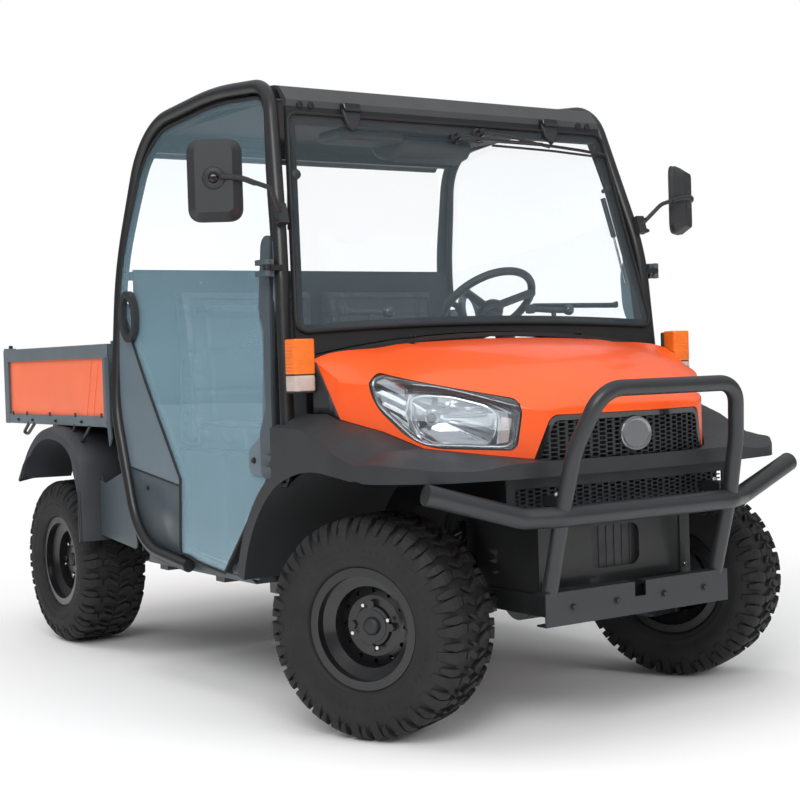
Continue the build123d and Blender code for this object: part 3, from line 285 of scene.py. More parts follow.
def prism(name, outline, depth, plane, body, material, slot=None, bevel=1.0, draft=0.0):
    """Outline in millimetres in a plane (4x4 matrix in row metres), raised by depth along its normal."""
    n = len(outline)
    cx = sum(p[0] for p in outline) / n
    cy = sum(p[1] for p in outline) / n
    top = [(cx + (x - cx) * (1 - draft), cy + (y - cy) * (1 - draft)) for x, y in outline]
    low = [plane @ Vector((x / 1000, y / 1000, 0)) for x, y in outline]
    high = [plane @ Vector((x / 1000, y / 1000, depth / 1000)) for x, y in top]
    return add_mesh(name, low + high, end_faces(n), body, material, slot, bevel)


def lathe(name, profile, plane, body, material, slot=None, steps=48, closed=False, angle=35):
    """Profile of (radius, height) in millimetres turned round the plane's normal."""
    points, faces = [], []
    m = len(profile)
    for i in range(steps):
        a = 2 * pi * i / steps
        points += [plane @ Vector((r * cos(a) / 1000, r * sin(a) / 1000, h / 1000)) for r, h in profile]
    for i in range(steps):
        j = (i + 1) % steps
        for k in range(m if closed else m - 1):
            after = (k + 1) % m
            faces.append([i * m + k, j * m + k, j * m + after, i * m + after])
    return add_mesh(name, points, faces, body, material, slot, angle=angle)


def round_path(path, bend, cyclic=False, steps=6):
    """Path with its corners rounded."""
    made = []
    n = len(path)
    for i, at in enumerate(path):
        if not cyclic and i in (0, n - 1):
            made.append(at)
            continue
        before, after = path[i - 1] - at, path[(i + 1) % n] - at
        a = at + before.normalized() * min(bend, before.length * 0.48)
        b = at + after.normalized() * min(bend, after.length * 0.48)
        for k in range(steps + 1):
            t = k / steps
            made.append(a * (1 - t) ** 2 + at * 2 * t * (1 - t) + b * t * t)
    return made


def sweep_mesh(path, section, cyclic=False, up=None):
    """Points and faces of a section, in metres, carried along a path."""
    points, faces = [], []
    n, m = len(path), len(section)
    normal = None
    for i, at in enumerate(path):
        before = path[i - 1] if i or cyclic else at
        after = path[(i + 1) % n] if i < n - 1 or cyclic else at
        ahead = (after - before).normalized()
        if up is not None:
            normal = Vector(up)
        elif normal is None:
            normal = Vector((0, 0, 1)) if abs(ahead.z) < 0.9 else Vector((1, 0, 0))
        normal = (normal - ahead * normal.dot(ahead)).normalized()
        side = ahead.cross(normal)
        points += [at + side * u + normal * v for u, v in section]
    for i in range(n if cyclic else n - 1):
        j = (i + 1) % n
        for k in range(m):
            after = (k + 1) % m
            faces.append([i * m + k, i * m + after, j * m + after, j * m + k])
    if not cyclic:
        faces += [list(range(m))[::-1], [(n - 1) * m + k for k in range(m)]]
    return points, faces


def circle(radius, sides):
    """Section of a round bar: radius in millimetres, points in metres."""
    turns = [2 * pi * k / sides for k in range(sides)]
    return [(radius * cos(a) / 1000, radius * sin(a) / 1000) for a in turns]


def bead(name, path, radius, body, material, slot=None, cyclic=False, sides=8):
    """Round bar along a path in row metres."""
    points, faces = sweep_mesh(path, circle(radius, sides), cyclic)
    return add_mesh(name, points, faces, body, material, slot)


def tube(name, points, radius, body, material, slot=None, cyclic=False, bend=0.0, sides=12):
    """A bent bar or hose through points in millimetres from the front axle."""
    path = [P(*p) for p in points]
    if bend:
        path = round_path(path, bend / 1000, cyclic)
    return bead(name, path, radius, body, material, slot, cyclic, sides)


def strip(name, points, width, thick, up, body, material, slot=None, cyclic=False, bend=0.0, bevel=0.8):
    """A flat bar along points; up is the way its thickness points."""
    path = [P(*p) for p in points]
    if bend:
        path = round_path(path, bend / 1000, cyclic)
    w, t = width / 2000, thick / 2000
    made, faces = sweep_mesh(path, [(-w, -t), (w, -t), (w, t), (-w, t)], cyclic, up)
    return add_mesh(name, made, faces, body, material, slot, bevel)


def cad_faces(node):
    """Corners and normal of each face of a CAD node, in the row frame."""
    obj = nodes[node]
    turn = obj.matrix_world.to_3x3()
    for poly in obj.data.polygons:
        corners = [obj.matrix_world @ obj.data.vertices[i].co for i in poly.vertices]
        yield corners, (turn @ poly.normal).normalized()


def loose_faces(faces, lift=0.0):
    """Points and loops of (corners, normal) faces, moved out along their normals by millimetres."""
    points, loops = [], []
    for corners, normal in faces:
        loops.append(list(range(len(points), len(points) + len(corners))))
        points += [c + normal * lift / 1000 for c in corners]
    return points, loops


def shell(name, node, keep, body, material, slot=None, lift=0.0, thick=0.0, angle=35):
    """Skin made of the CAD faces that pass a test, moved out along their normals."""
    kept = [(corners, normal) for corners, normal in cad_faces(node)
            if keep(sum(corners, Vector()) / len(corners), normal)]
    obj = add_mesh(name, *loose_faces(kept, lift), body, material, slot, angle=angle)
    if thick:
        thicken(obj, thick)
    return obj


def cut_shell(name, faces, point, normal, lift, body, material, slot=None):
    """Skin over the given faces, cut off above the plane through point, and closed into a thin sheet."""
    obj = add_mesh(name, *loose_faces(faces, lift), body, material, slot)
    work = bmesh.new()
    work.from_mesh(obj.data)
    bmesh.ops.bisect_plane(work, geom=work.verts[:] + work.edges[:] + work.faces[:], plane_co=point,
                           plane_no=Vector(normal).normalized(), clear_outer=True)
    work.to_mesh(obj.data)
    work.free()
    thicken(obj, 1.5)
    return obj


def edge_lines(node, keep, corner=40, fewest=6):
    """Lines along the sharp edges of a CAD node whose middle passes a test."""
    found = {}
    spots = {}
    for corners, normal in cad_faces(node):
        keys = [tuple(round(v, 5) for v in c) for c in corners]
        spots.update(zip(keys, corners))
        for a, b in zip(keys, keys[1:] + keys[:1]):
            found.setdefault((min(a, b), max(a, b)), []).append(normal)
    near = {}
    for (a, b), normals in found.items():
        sharp = len(normals) == 2 and normals[0].angle(normals[1]) > radians(corner)
        if sharp and keep((spots[a] + spots[b]) / 2, normals):
            near.setdefault(a, []).append(b)
            near.setdefault(b, []).append(a)
    lines = []
    while near:
        ends = [k for k, v in near.items() if len(v) == 1]
        at = ends[0] if ends else next(iter(near))
        line = [at]
        while near.get(at):
            after = near[at].pop()
            near[after].remove(at)
            line.append(after)
            at = after
        near = {k: v for k, v in near.items() if v}
        if len(line) > fewest:
            lines.append(([spots[k] for k in line], line[0] == line[-1]))
    return lines


def trim(name, node, keep, radius, body, material, slot=None, corner=40, lift=(0, 0, 0)):
    """Rubber or seam bead along sharp CAD edges."""
    for k, (line, closed) in enumerate(edge_lines(node, keep, corner)):
        path = [p + Vector(lift) / 1000 for p in (line[:-1] if closed else line)]
        bead(f"{name}_{k}", path, radius, body, material, slot, closed)


def plane_at(x, y, z, normal, up=(0, 0, 1)):
    """Matrix with its third axis along the normal and its second as near to up as it can be."""
    n = Vector(normal).normalized()
    side = Vector(up).cross(n)
    side = side.normalized() if side.length > 1e-3 else Vector((0, 1, 0))
    above = n.cross(side)
    turned = Matrix((side, above, n)).transposed().to_4x4()
    return Matrix.Translation(P(x, y, z)) @ turned


def block(name, centre, size, body, material, slot=None, bevel=3.0, turn=(0, 0, 0), draft=0.0):
    """Bevelled block with its size along X, Y and Z, turned by degrees."""
    sx, sy, sz = (v / 2 for v in size)
    turned = Matrix.Translation(P(*centre))
    for angle, axis in zip(turn, "XYZ"):
        turned = turned @ Matrix.Rotation(radians(angle), 4, axis)
    turned = turned @ Matrix.Translation((0, 0, -sz / 1000))
    return prism(name, [(-sx, -sy), (sx, -sy), (sx, sy), (-sx, sy)], size[2], turned, body, material, slot,
                 bevel, draft)


def rounded(points, radius, steps=5):
    """Outline with rounded corners."""
    made = []
    n = len(points)
    for i, (x, y) in enumerate(points):
        (ax, ay), (bx, by) = points[i - 1], points[(i + 1) % n]
        ua = Vector((ax - x, ay - y))
        ub = Vector((bx - x, by - y))
        r = radius[i] if isinstance(radius, (list, tuple)) else radius
        cut = min(r, ua.length * 0.45, ub.length * 0.45)
        b = Vector((x, y))
        a, c = b + ua.normalized() * cut, b + ub.normalized() * cut
        for k in range(steps + 1):
            t = k / steps
            q = a * (1 - t) ** 2 + b * 2 * t * (1 - t) + c * t * t
            made.append((q.x, q.y))
    return made


def bolt(name, x, y, z, normal, body, radius=8.0, slot="black_steel", material="black_steel"):
    """Hexagon head on its washer."""
    base = plane_at(x, y, z, normal)
    lathe(name + "_washer", [(0, 0), (radius * 1.35, 0), (radius * 1.35, 1.2), (radius * 1.2, 1.8), (0, 1.8)],
          base, body, material, slot, 20)
    head = [(radius * cos(pi * k / 3), radius * sin(pi * k / 3)) for k in range(6)]
    return prism(name + "_head", head, 6.5, base @ Matrix.Translation((0, 0, 0.0015)), body, material, slot,
                 0.8)


# ---- camera and studio ----
YAW, PITCH, ROLL = radians(55.59), radians(1.54), radians(-1.79)
CAMERA_SPOT, LENS_LENGTH, SENSOR_WIDTH = (3650, -3005, 1055), 69.68, 36
# name, place, aim, width, height, watts; only the key lamp shows in reflections
LAMPS = [("key", (3200, -3600, 4200), (-500, 0, 700), 3.2, 3.2, 175),
         ("front", (4200, 1800, 2600), (-300, 0, 700), 2.6, 2.0, 70),
         ("top", (-600, -200, 4800), (-600, 0, 900), 4.0, 3.0, 90),
         ("rear", (-4200, -2600, 2600), (-1200, 0, 800), 2.4, 2.0, 50)]
WHITE = (1, 1, 1, 1)
SKY_STRENGTH, SKY_LOW, SKY_HIGH = 0.5, (0.06, 0.062, 0.066), (0.62, 0.63, 0.65)
# the floor's rings, the steps round them, and where it fades to white, in metres from its middle
FLOOR_RINGS, FLOOR_STEPS, FADE_START, FADE_END = (3.0, 6.0, 14.0, 60.0), 48, 1.2, 3.4


def photo_camera():
    look = Vector((-sin(YAW) * cos(PITCH), cos(YAW) * cos(PITCH), -sin(PITCH)))
    right = Vector((cos(YAW), sin(YAW), 0))
    above = right.cross(look)
    axes = Matrix((cos(ROLL) * right + sin(ROLL) * above, -sin(ROLL) * right + cos(ROLL) * above, -look))
    lens = bpy.data.cameras.new("camera")
    lens.lens, lens.sensor_width = LENS_LENGTH, SENSOR_WIDTH
    camera = link_object("camera", lens)
    camera.matrix_world = Matrix.Translation(P(*CAMERA_SPOT)) @ axes.transposed().to_4x4()
    bpy.context.scene.camera = camera


def sky():
    """White to the camera and through glass, a soft gradient in reflections, and an even light elsewhere."""
    world = bpy.data.worlds.new("studio")
    bpy.context.scene.world = world
    world.use_nodes = True
    tree = world.node_tree
    shade = tree.nodes["Background"]
    shade.inputs["Color"].default_value = WHITE
    shade.inputs["Strength"].default_value = SKY_STRENGTH
    seen, mirrored = add_node(tree, "Background", Color=WHITE, Strength=1.0), add_node(tree, "Background")
    tree.links.new(ramp(tree, height_of(tree, "Generated"), SKY_LOW, SKY_HIGH, 0.05, 0.75),
                   mirrored.inputs["Color"])
    rays = add_node(tree, "LightPath").outputs
    shiny = mix(tree, rays["Is Glossy Ray"], shade.outputs[0], mirrored.outputs[0])
    either = maths(tree, "MAXIMUM", rays["Is Camera Ray"], rays["Is Transmission Ray"])
    tree.links.new(mix(tree, either, shiny, seen.outputs[0]), tree.nodes["World Output"].inputs["Surface"])


def lamps():
    for name, spot, aim, width, height, power in LAMPS:
        lamp = bpy.data.lights.new(name, "AREA")
        lamp.shape = "RECTANGLE"
        lamp.size, lamp.size_y, lamp.energy = width, height, power
        obj = link_object(name, lamp)
        obj.visible_glossy = name == "key"
        way = P(*aim) - P(*spot)
        obj.matrix_world = Matrix.Translation(P(*spot)) @ way.to_track_quat("-Z", "Y").to_matrix().to_4x4()


def pale_floor():
    """Disc under the object that keeps its shadow and fades to white away from it."""
    steps = FLOOR_STEPS
    points = [(0, 0, 0)]
    for r in FLOOR_RINGS:
        points += [(r * cos(2 * pi * i / steps), r * sin(2 * pi * i / steps), 0) for i in range(steps)]
    faces = [[0, 1 + i, 1 + (i + 1) % steps] for i in range(steps)]
    for k in range(len(FLOOR_RINGS) - 1):
        a, b = 1 + k * steps, 1 + (k + 1) * steps
        faces += [[a + i, b + i, b + (i + 1) % steps, a + (i + 1) % steps] for i in range(steps)]
    data = bpy.data.meshes.new("floor")
    data.from_pydata(points, [], faces)
    floor = link_object("floor", data)
    floor.location = (0, 0, -0.0005)
    made, tree, shader = new_material("floor")
    shader.inputs["Base Color"].default_value = (0.93, 0.93, 0.93, 1)
    shader.inputs["Roughness"].default_value = 0.9
    shader.inputs["Specular IOR Level"].default_value = 0.1
    far = add_node(tree, "VectorMath")
    far.operation = "LENGTH"
    tree.links.new(add_node(tree, "TexCoord").outputs["Object"], far.inputs[0])
    fade = add_node(tree, "MapRange", From_Min=FADE_START, From_Max=FADE_END)
    fade.interpolation_type = "SMOOTHSTEP"
    tree.links.new(far.outputs["Value"], fade.inputs["Value"])
    seen = maths(tree, "MULTIPLY", fade.outputs["Result"],
                 add_node(tree, "LightPath").outputs["Is Camera Ray"])
    tree.links.new(mix(tree, seen, shader.outputs[0], add_node(tree, "Emission").outputs[0]),
                   tree.nodes["Material Output"].inputs["Surface"])
    data.materials.append(made)


photo_camera()
sky()
lamps()
pale_floor()
bpy.context.scene.view_settings.view_transform = "Standard"


# ---- wheels ----
def wheel_matrix(x, side, steer):
    """Plane at a wheel's middle: normal outboard, second axis up."""
    out = Vector((-side * sin(radians(steer)), side * cos(radians(steer)), 0))
    base = KINGPIN_Y if steer else HALF_TRACK - KINGPIN_OFFSET
    return plane_at(x + KINGPIN_OFFSET * out.x, side * base + KINGPIN_OFFSET * out.y, TYRE_RADIUS, out)


# half width and radius of the carcass, and of the lug tops over it
CARCASS = [(0, 299.5), (30, 299.5), (60, 299), (84, 297), (100, 290), (113, 278), (121, 262), (125.5, 244)]
LUG_TOP = [(0, 311.8), (30, 311.8), (62, 311.4), (90, 309.5), (108, 302), (119.5, 288), (125.5, 268),
           (126.6, 247)]


# how deep a lug is rooted, as a share of its height, and the share of its width left at the top
LUG_ROOT, LUG_TAPER = -0.25, 0.86


def surface_point(station, t, tall, side):
    """Point on the tread: station along the profile, t millimetres round the tyre, and tall from 0 to 1."""
    k = min(int(station), len(CARCASS) - 2)
    f = station - k
    low = [CARCASS[k][i] * (1 - f) + CARCASS[k + 1][i] * f for i in (0, 1)]
    top = [LUG_TOP[k][i] * (1 - f) + LUG_TOP[k + 1][i] * f for i in (0, 1)]
    w = low[0] * (1 - tall) + top[0] * tall
    r = low[1] * (1 - tall) + top[1] * tall
    a = t / TYRE_RADIUS
    return Vector((r * cos(a) / 1000, r * sin(a) / 1000, side * w / 1000))


def lug(shape, side, angle):
    """Lug from rows of (station, first t, last t), as points and faces in the wheel's own frame."""
    turned = Matrix.Rotation(angle, 4, "Z")
    points = []
    for station, a, b in shape:
        mid = (a + b) / 2
        for tall in (LUG_ROOT, 1.0):
            for t in (a, b):
                at = mid + (t - mid) * (LUG_TAPER if tall == 1.0 else 1.0)
                points.append(turned @ surface_point(station, at, tall, side))
    faces = [[0, 1, 3, 2]]
    for k in range(len(shape) - 1):
        i = 4 * k
        faces += [[i, i + 4, i + 5, i + 1], [i + 2, i + 3, i + 7, i + 6], [i, i + 2, i + 6, i + 4],
                  [i + 1, i + 5, i + 7, i + 3]]
    i = 4 * (len(shape) - 1)
    faces.append([i, i + 2, i + 3, i + 1])
    return points, faces


SHOULDER_LONG = [(2.15, 4, 30), (3.0, -2, 34), (3.8, -8, 32), (4.6, -6, 30), (5.6, -4, 27), (6.7, 0, 24)]
SHOULDER_SHORT = [(2.75, -6, 12), (3.4, -10, 16), (4.2, -12, 14), (5.0, -9, 12), (5.8, -6, 8)]
CHEVRON = [(0.1, -22, -2), (0.7, -14, 8), (1.3, -6, 18), (1.9, -12, 12)]
SMALL = [(0.25, 6, 18), (0.9, 14, 27), (1.4, 24, 32)]
PITCHES = 26
# half width and radius down the sidewall to the rim
SIDEWALL = [(125.9, 230), (124, 212), (121, 203), (121.6, 199), (119, 190), (117, 187), (117.5, 183),
            (113, 176), (107, 172.5), (99.4, 171), (97.4, 152.3)]
# raised bars: how many, the group in which some are left out, radius of the foot, half width and slope of
# the sidewall under them, and the corners as (radians round, millimetres up)
BARS, BAR_GROUP, BAR_GAPS = 60, 15, (0, 7)
BAR_FOOT, BAR_FACE, BAR_SLOPE = 216, 124.3, 0.13
BAR_CORNERS = ((-0.011, 0), (0.011, 0), (0.014, 10), (-0.008, 10))
HUB = [(0, 66), (16, 66), (22, 63), (25, 58), (26, 52.3), (0, 52.3)]
STUD = [(0, 64), (5, 64), (6, 62), (6, 57), (0, 57)]
# metres from the wheel's middle, and the first stud's angle
STUD_RING, VALVE_RING, STUD_TURN = 0.062, 0.128, 0.35
VALVE = [(0, 84), (3.5, 84), (4, 82), (4, 66), (6.5, 60), (6.5, 55)]


def build_tyre(name, matrix, body, node):
    points, faces = [], []

    def take(more, more_faces):
        start = len(points)
        points.extend(more)
        faces.extend([[start + i for i in f] for f in more_faces])

    for i in range(PITCHES):
        a = 2 * pi * i / PITCHES
        for side in (1, -1):
            shift = a + (pi / PITCHES if side < 0 else 0)
            for shape, step in ((SHOULDER_LONG, 0.0), (SHOULDER_SHORT, 0.56), (CHEVRON, 0.18), (SMALL, 0.3)):
                take(*lug(shape, side, shift + step * 2 * pi / PITCHES))
    moved = [matrix @ p for p in points]
    tread = add_mesh("tread_" + name, moved, faces, body, "tyre", smooth=False)
    bevel_edges(tread, 1.2, 1)
    line = [(r, w) for w, r in CARCASS + SIDEWALL]
    profile = line[::-1] + [(r, -w) for r, w in line[1:]]
    carcass = lathe("carcass_" + name, profile, matrix, body, "tyre", steps=96, angle=50)
    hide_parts(node)
    # raised bars round the sidewall
    for side in (1, -1):
        bars, bar_faces = [], []
        for i in range(BARS):
            if i % BAR_GROUP in BAR_GAPS:
                continue
            a = 2 * pi * i / BARS
            s = len(bars)
            for da, up in BAR_CORNERS:
                r = BAR_FOOT + up
                for lift in (-1.0, 0.9):
                    w = BAR_FACE + up * BAR_SLOPE + lift
                    bars.append(matrix @ Vector((r * cos(a + da) / 1000, r * sin(a + da) / 1000,
                                                 side * w / 1000)))
            bar_faces += [[s + 1, s + 3, s + 5, s + 7], [s, s + 1, s + 3, s + 2],
                          [s + 2, s + 3, s + 5, s + 4], [s + 4, s + 5, s + 7, s + 6],
                          [s + 6, s + 7, s + 1, s], [s, s + 2, s + 4, s + 6]]
        add_mesh(f"sidewall_{name}_{'out' if side > 0 else 'in'}", bars, bar_faces, body, "tyre",
                 smooth=False)


WHEELS = [("front_right", 0, -1, STEER_REST), ("front_left", 0, 1, STEER_REST),
          ("rear_right", -WHEELBASE, -1, 0), ("rear_left", -WHEELBASE, 1, 0)]
for name, x, side, steer in WHEELS:
    matrix = wheel_matrix(x, side, steer)
    body = "wheel_" + name
    build_tyre(name, matrix, body, "tyre_" + name)
    # hub cap, nuts and valve
    lathe("hub_cap_" + name, HUB, matrix, body, "black_plastic", "rim_paint", 32)
    for k in range(4):
        a = pi / 2 * k + STUD_TURN
        spot = matrix @ Matrix.Translation((STUD_RING * cos(a), STUD_RING * sin(a), 0.0))
        lathe(f"stud_{name}_{k}", STUD, spot, body, "bright_steel", "rim_paint", 12)
    lathe("valve_" + name, VALVE, matrix @ Matrix.Translation((VALVE_RING, 0, 0.0)), body, "seal_rubber",
          "tyre", 12)


# ---- headlamps ----
LAMP_ACROSS, LAMP_OUT = (0.811, 0.585), (0.585, 0.811)
REFLECTOR = [(-82, 941), (-45, 950), (35, 942), (127, 917), (158, 896), (154, 851), (136, 809), (-15, 815),
             (-55, 835), (-81, 875)]
LENS_EDGE = [(226, 922), (206, 801), (-56, 813), (-184, 934), (-192, 1010)]


def lamp_point(side, a, z, inset):
    """Point in a headlamp: along it, height, and depth behind the hood's side wall; side is +1 left."""
    # the wall bows along the lamp, and leans in above its upper edge
    wall = 36.6 - 0.0964 * (a + 9) - 0.00016 * (a + 9) ** 2
    over = max(z - (998 - 0.227 * (a + 200)), 0)
    d = wall - inset - 3.2 * over
    x, y = 161 + LAMP_ACROSS[0] * a + LAMP_OUT[0] * d, 474 - LAMP_ACROSS[1] * a + LAMP_OUT[1] * d
    return P(x, side * y, z)


def lamp_bar(name, side, outline, inset, radius, material, cyclic=False, bend=0.0):
    """Round bar through (a, z) corners at one depth in a headlamp."""
    path = [lamp_point(side, a, z, inset) for a, z in (rounded(outline, bend) if bend else outline)]
    return bead(name, path, radius, "hood", material, "lamp_clear", cyclic, 10)


def lamp_plate(name, side, corners, material, thick=3.0):
    """Plate through (a, z, inset) corners."""
    front = [lamp_point(side, a, z, inset) for a, z, inset in corners]
    back = [lamp_point(side, a, z, inset + thick) for a, z, inset in corners]
    return add_mesh(name, front + back, end_faces(len(corners), True), "hood", material, "lamp_clear",
                    bevel=0.8)


def on_lens(side):
    """Test for the lens side of a headlamp's faces."""
    out = Vector((LAMP_OUT[0], side * LAMP_OUT[1], 0))

    def keep(centre, normal):
        return centre.y * side > 0 and (normal.dot(out) > 0.55 or normal.z > 0.6)
    return keep


for side, tag in SIDES:
    lens_test = on_lens(side)
    pane = shell("lamp_lens_" + tag, "headlamps", lens_test, "hood", "lamp_clear", thick=2.5)
    if side > 0:
        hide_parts("headlamps")
    shell("lamp_housing_" + tag, "headlamps", lambda c, n: c.y * side > 0 and not lens_test(c, n), "hood",
          "lamp_grey", "lamp_clear", lift=-0.3)
    lamp_bar("lamp_edge_" + tag, side, LENS_EDGE, 9, 5.5, "lamp_grey", True, 40)
    lamp_bar("reflector_rim_" + tag, side, REFLECTOR, 15, 3.6, "chrome", True, 16)
    # fluted bowl round the bulb
    edge = rounded(REFLECTOR, 16, 8)
    points, rows = [], 14
    for k in range(rows):
        t = 0.93 * k / (rows - 1)
        for a, z in edge:
            flute = 0.9 * sin(a * 0.75) if a > 40 and k < 11 else 0.0
            deep = 17 + 36 * (1 - (1 - t) ** 2) + flute * min(k, 3) / 3
            points.append(lamp_point(side, a + (-30 - a) * t, z + (885 - z) * t, deep))
    add_mesh("lamp_bowl_" + tag, points, loft_faces(rows, len(edge)), "hood", "chrome", "lamp_clear",
             angle=60)
    bulb = plane_at(0, 0, 0, (LAMP_OUT[0], side * LAMP_OUT[1], 0))
    bulb.translation = lamp_point(side, -34, 886, 52)
    lathe("lamp_bulb_" + tag, [(0, 30), (4, 30), (8, 27), (9.5, 22), (9.5, 14), (12, 12), (12, 8), (17, 4),
                               (17, 0)], bulb, "hood", "gloss_black", "lamp_clear", 24)
    lathe("lamp_socket_" + tag, [(14, 9), (19, 9), (21, 5), (21, 0), (14, 0)], bulb, "hood", "bright_steel",
          "lamp_clear", 28, closed=True)
    # divider and the stepped outer chamber
    lamp_bar("lamp_divider_" + tag, side, [(-78, 960), (-93, 925), (-92, 890), (-80, 858), (-52, 826)], 11,
             4.6, "chrome", False, 18)
    for k, corners in enumerate([
            [(-186, 992, 14), (-158, 1004, 14), (-92, 966, 20), (-97, 946, 20)],
            [(-183, 962, 15), (-164, 968, 15), (-98, 934, 26), (-100, 920, 26)],
            [(-172, 928, 16), (-158, 934, 16), (-98, 904, 28), (-97, 888, 28)],
            [(-152, 897, 17), (-141, 905, 17), (-94, 872, 26), (-86, 856, 26)],
            [(-122, 866, 17), (-110, 873, 17), (-78, 846, 22), (-64, 832, 22)]]):
        lamp_plate(f"lamp_step_{tag}_{k}", side, corners, "chrome")
    lamp_plate("lamp_reflex_" + tag, side, [(171, 886, 11), (199, 880, 11), (188, 816, 11), (157, 811, 11)],
               "lamp_white")
    lamp_plate("lamp_ledge_" + tag, side, [(-72, 972, 9), (40, 960, 9), (132, 934, 9), (200, 898, 9),
                                           (196, 890, 14), (128, 926, 14), (36, 951, 14), (-74, 962, 14)],
               "chrome")
    lamp_plate("lamp_sill_" + tag, side, [(-60, 824, 12), (-14, 807, 12), (150, 800, 12), (150, 806, 16),
                                          (-12, 813, 16), (-56, 831, 16)], "chrome")
    lamp_bar("lamp_end_" + tag, side, [(162, 900), (168, 880), (158, 812)], 9, 3.4, "chrome")
    trim("lamp_seal_" + tag, "headlamps",
         lambda at, normals: at.y * side > 0 and any(lens_test(at, n) for n in normals)
         and not all(lens_test(at, n) for n in normals), 2.4, "hood", "gloss_black", "lamp_clear")


# ---- grilles ----
def ring_in(outline, width):
    """Outline drawn in by a width."""
    n = len(outline)
    inner = []
    area = sum(outline[i - 1][0] * outline[i][1] - outline[i][0] * outline[i - 1][1] for i in range(n))
    for i in range(n):
        a, b, c = (Vector(outline[k % n]) for k in (i - 1, i, i + 1))
        first, second = (b - a).normalized(), (c - b).normalized()
        turn = 1 if area > 0 else -1
        n1, n2 = Vector((-first.y, first.x)) * turn, Vector((-second.y, second.x)) * turn
        mean = (n1 + n2).normalized()
        inner.append(tuple(b + mean * width / max(mean.dot(n1), 0.4)))
    return inner


def band(name, outline, width, front, proud, depth, body, material, slot=None):
    """Frame round an opening of (y, z) corners, on a curved front."""
    inner = ring_in(outline, width)
    points, faces = [], []
    for (y, z), (v, w) in zip(outline, inner):
        points += [P(front(y) - depth, y, z), P(front(y) + proud, y, z), P(front(v) + proud - 3, v, w),
                   P(front(v) - depth, v, w)]
    n = len(outline)
    for i in range(n):
        j = (i + 1) % n
        faces += [[4 * i + k, 4 * j + k, 4 * j + (k + 1) % 4, 4 * i + (k + 1) % 4] for k in range(4)]
    return add_mesh(name, points, faces, body, material, slot, bevel=1.2)


def lattice(name, front, low, high, half, pitch, row, body, material, slot=None, depth=9.0):
    """Grille of staggered slots: front(y) is its X and half(z) its half width at a height."""
    points, faces = [], []

    def bar(y0, y1, z0, z1, deep):
        start = len(points)
        for y in (y0, y1):
            for z in (z0, z1):
                for back in (0, deep):
                    points.append(P(front(y) - back, y, z))
        faces.extend([[start + i for i in f] for f in ((0, 1, 3, 2), (4, 6, 7, 5), (0, 4, 5, 1), (2, 3, 7, 6),
                                                       (0, 2, 6, 4), (1, 5, 7, 3))])

    count = int(half(low) / pitch)
    for k in range(-count, count + 1):
        top = max((z for z in (low + (high - low) * t / 40 for t in range(41)) if half(z) >= abs(k * pitch)),
                  default=low)
        wide = 2.6 if k % 3 else 4.4
        bar(k * pitch - wide, k * pitch + wide, low, top, depth)
    for k in range(-count - 1, count + 1):
        z = low + (row / 2 if k % 2 else row)
        while z < high - 2:
            reach = half(z) - 1
            a, b = max(k * pitch, -reach), min((k + 1) * pitch, reach)
            if b > a:
                bar(a, b, z - 1.9, z + 1.9, depth - 1.5)
            z += row
    return add_mesh(name, points, faces, body, material, slot, smooth=False)


def backing(name, front, low, high, half, body, material, slot=None):
    """Dark sheet behind a grille."""
    points, steps = [], 24
    for z in (low, high):
        for i in range(steps + 1):
            y = half(z) * (2 * i / steps - 1)
            points.append(P(front(y), y, z))
    faces = [[i, i + 1, steps + 2 + i, steps + 1 + i] for i in range(steps)]
    obj = add_mesh(name, points, faces, body, material, slot)
    thicken(obj, 2)
    return obj


def upper_front(y):
    """X of the upper grille's face."""
    if abs(y) <= 278:
        return 431 - 35 * (y / 278) ** 2
    return 396 - 36 * (abs(y) - 278) / 54


def upper_half(z):
    """Half width of the upper grille at a height."""
    return 318 - 53 * (z - 735) / 153


def lower_front(y):
    """X of the lower grille's face."""
    return 394.5 - 36.2 * (y / 470) ** 2


MOUTH = rounded([(-329, 736.5), (-277, 886.5), (277, 886.5), (329, 736.5)], (10, 28, 28, 10), 6)
mesh = lattice("grille_mesh", lambda y: upper_front(y) - 4, 742, 880, upper_half, 25.5, 12.4, "hood",
               "black_plastic")
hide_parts("grille_upper")
edge_points = []
for (y0, z0), (y1, z1) in zip(MOUTH, MOUTH[1:] + MOUTH[:1]):
    cuts = max(int(abs(y1 - y0) / 30), 1)
    edge_points += [(y0 + (y1 - y0) * k / cuts, z0 + (z1 - z0) * k / cuts) for k in range(cuts)]
band("grille_frame", edge_points, 15, upper_front, 0.5, 12, "hood", "gloss_black", "black_plastic")
backing("grille_back", lambda y: upper_front(y) - 26, 738, 885, lambda z: upper_half(z) + 4, "hood",
        "seal_rubber", "black_plastic")
band("grille_step", [(-108, 744), (-84, 768), (84, 768), (108, 744)], 5, upper_front, -1, 10, "hood",
     "gloss_black", "black_plastic")
disc = plane_at(upper_front(0), 0, 824, (1, 0, 0))
lathe("badge_disc", [(0, 3), (40, 3), (41.5, 3), (43, 3.2), (45, 4.5), (47, 6), (50, 6), (52, 4), (52, -8),
                     (0, -8)], disc @ Matrix.Diagonal((1.12, 0.93, 1, 1)), "hood", "lamp_grey",
      "bright_steel", 64)
low_mesh = lattice("lower_mesh", lower_front, 622, 690, lambda z: 395, 23.5, 11.6, "chassis", "black_plastic")
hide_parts("grille_lower")
backing("lower_back", lambda y: lower_front(y) - 22, 617, 694, lambda z: 398, "chassis", "seal_rubber",
        "black_plastic")


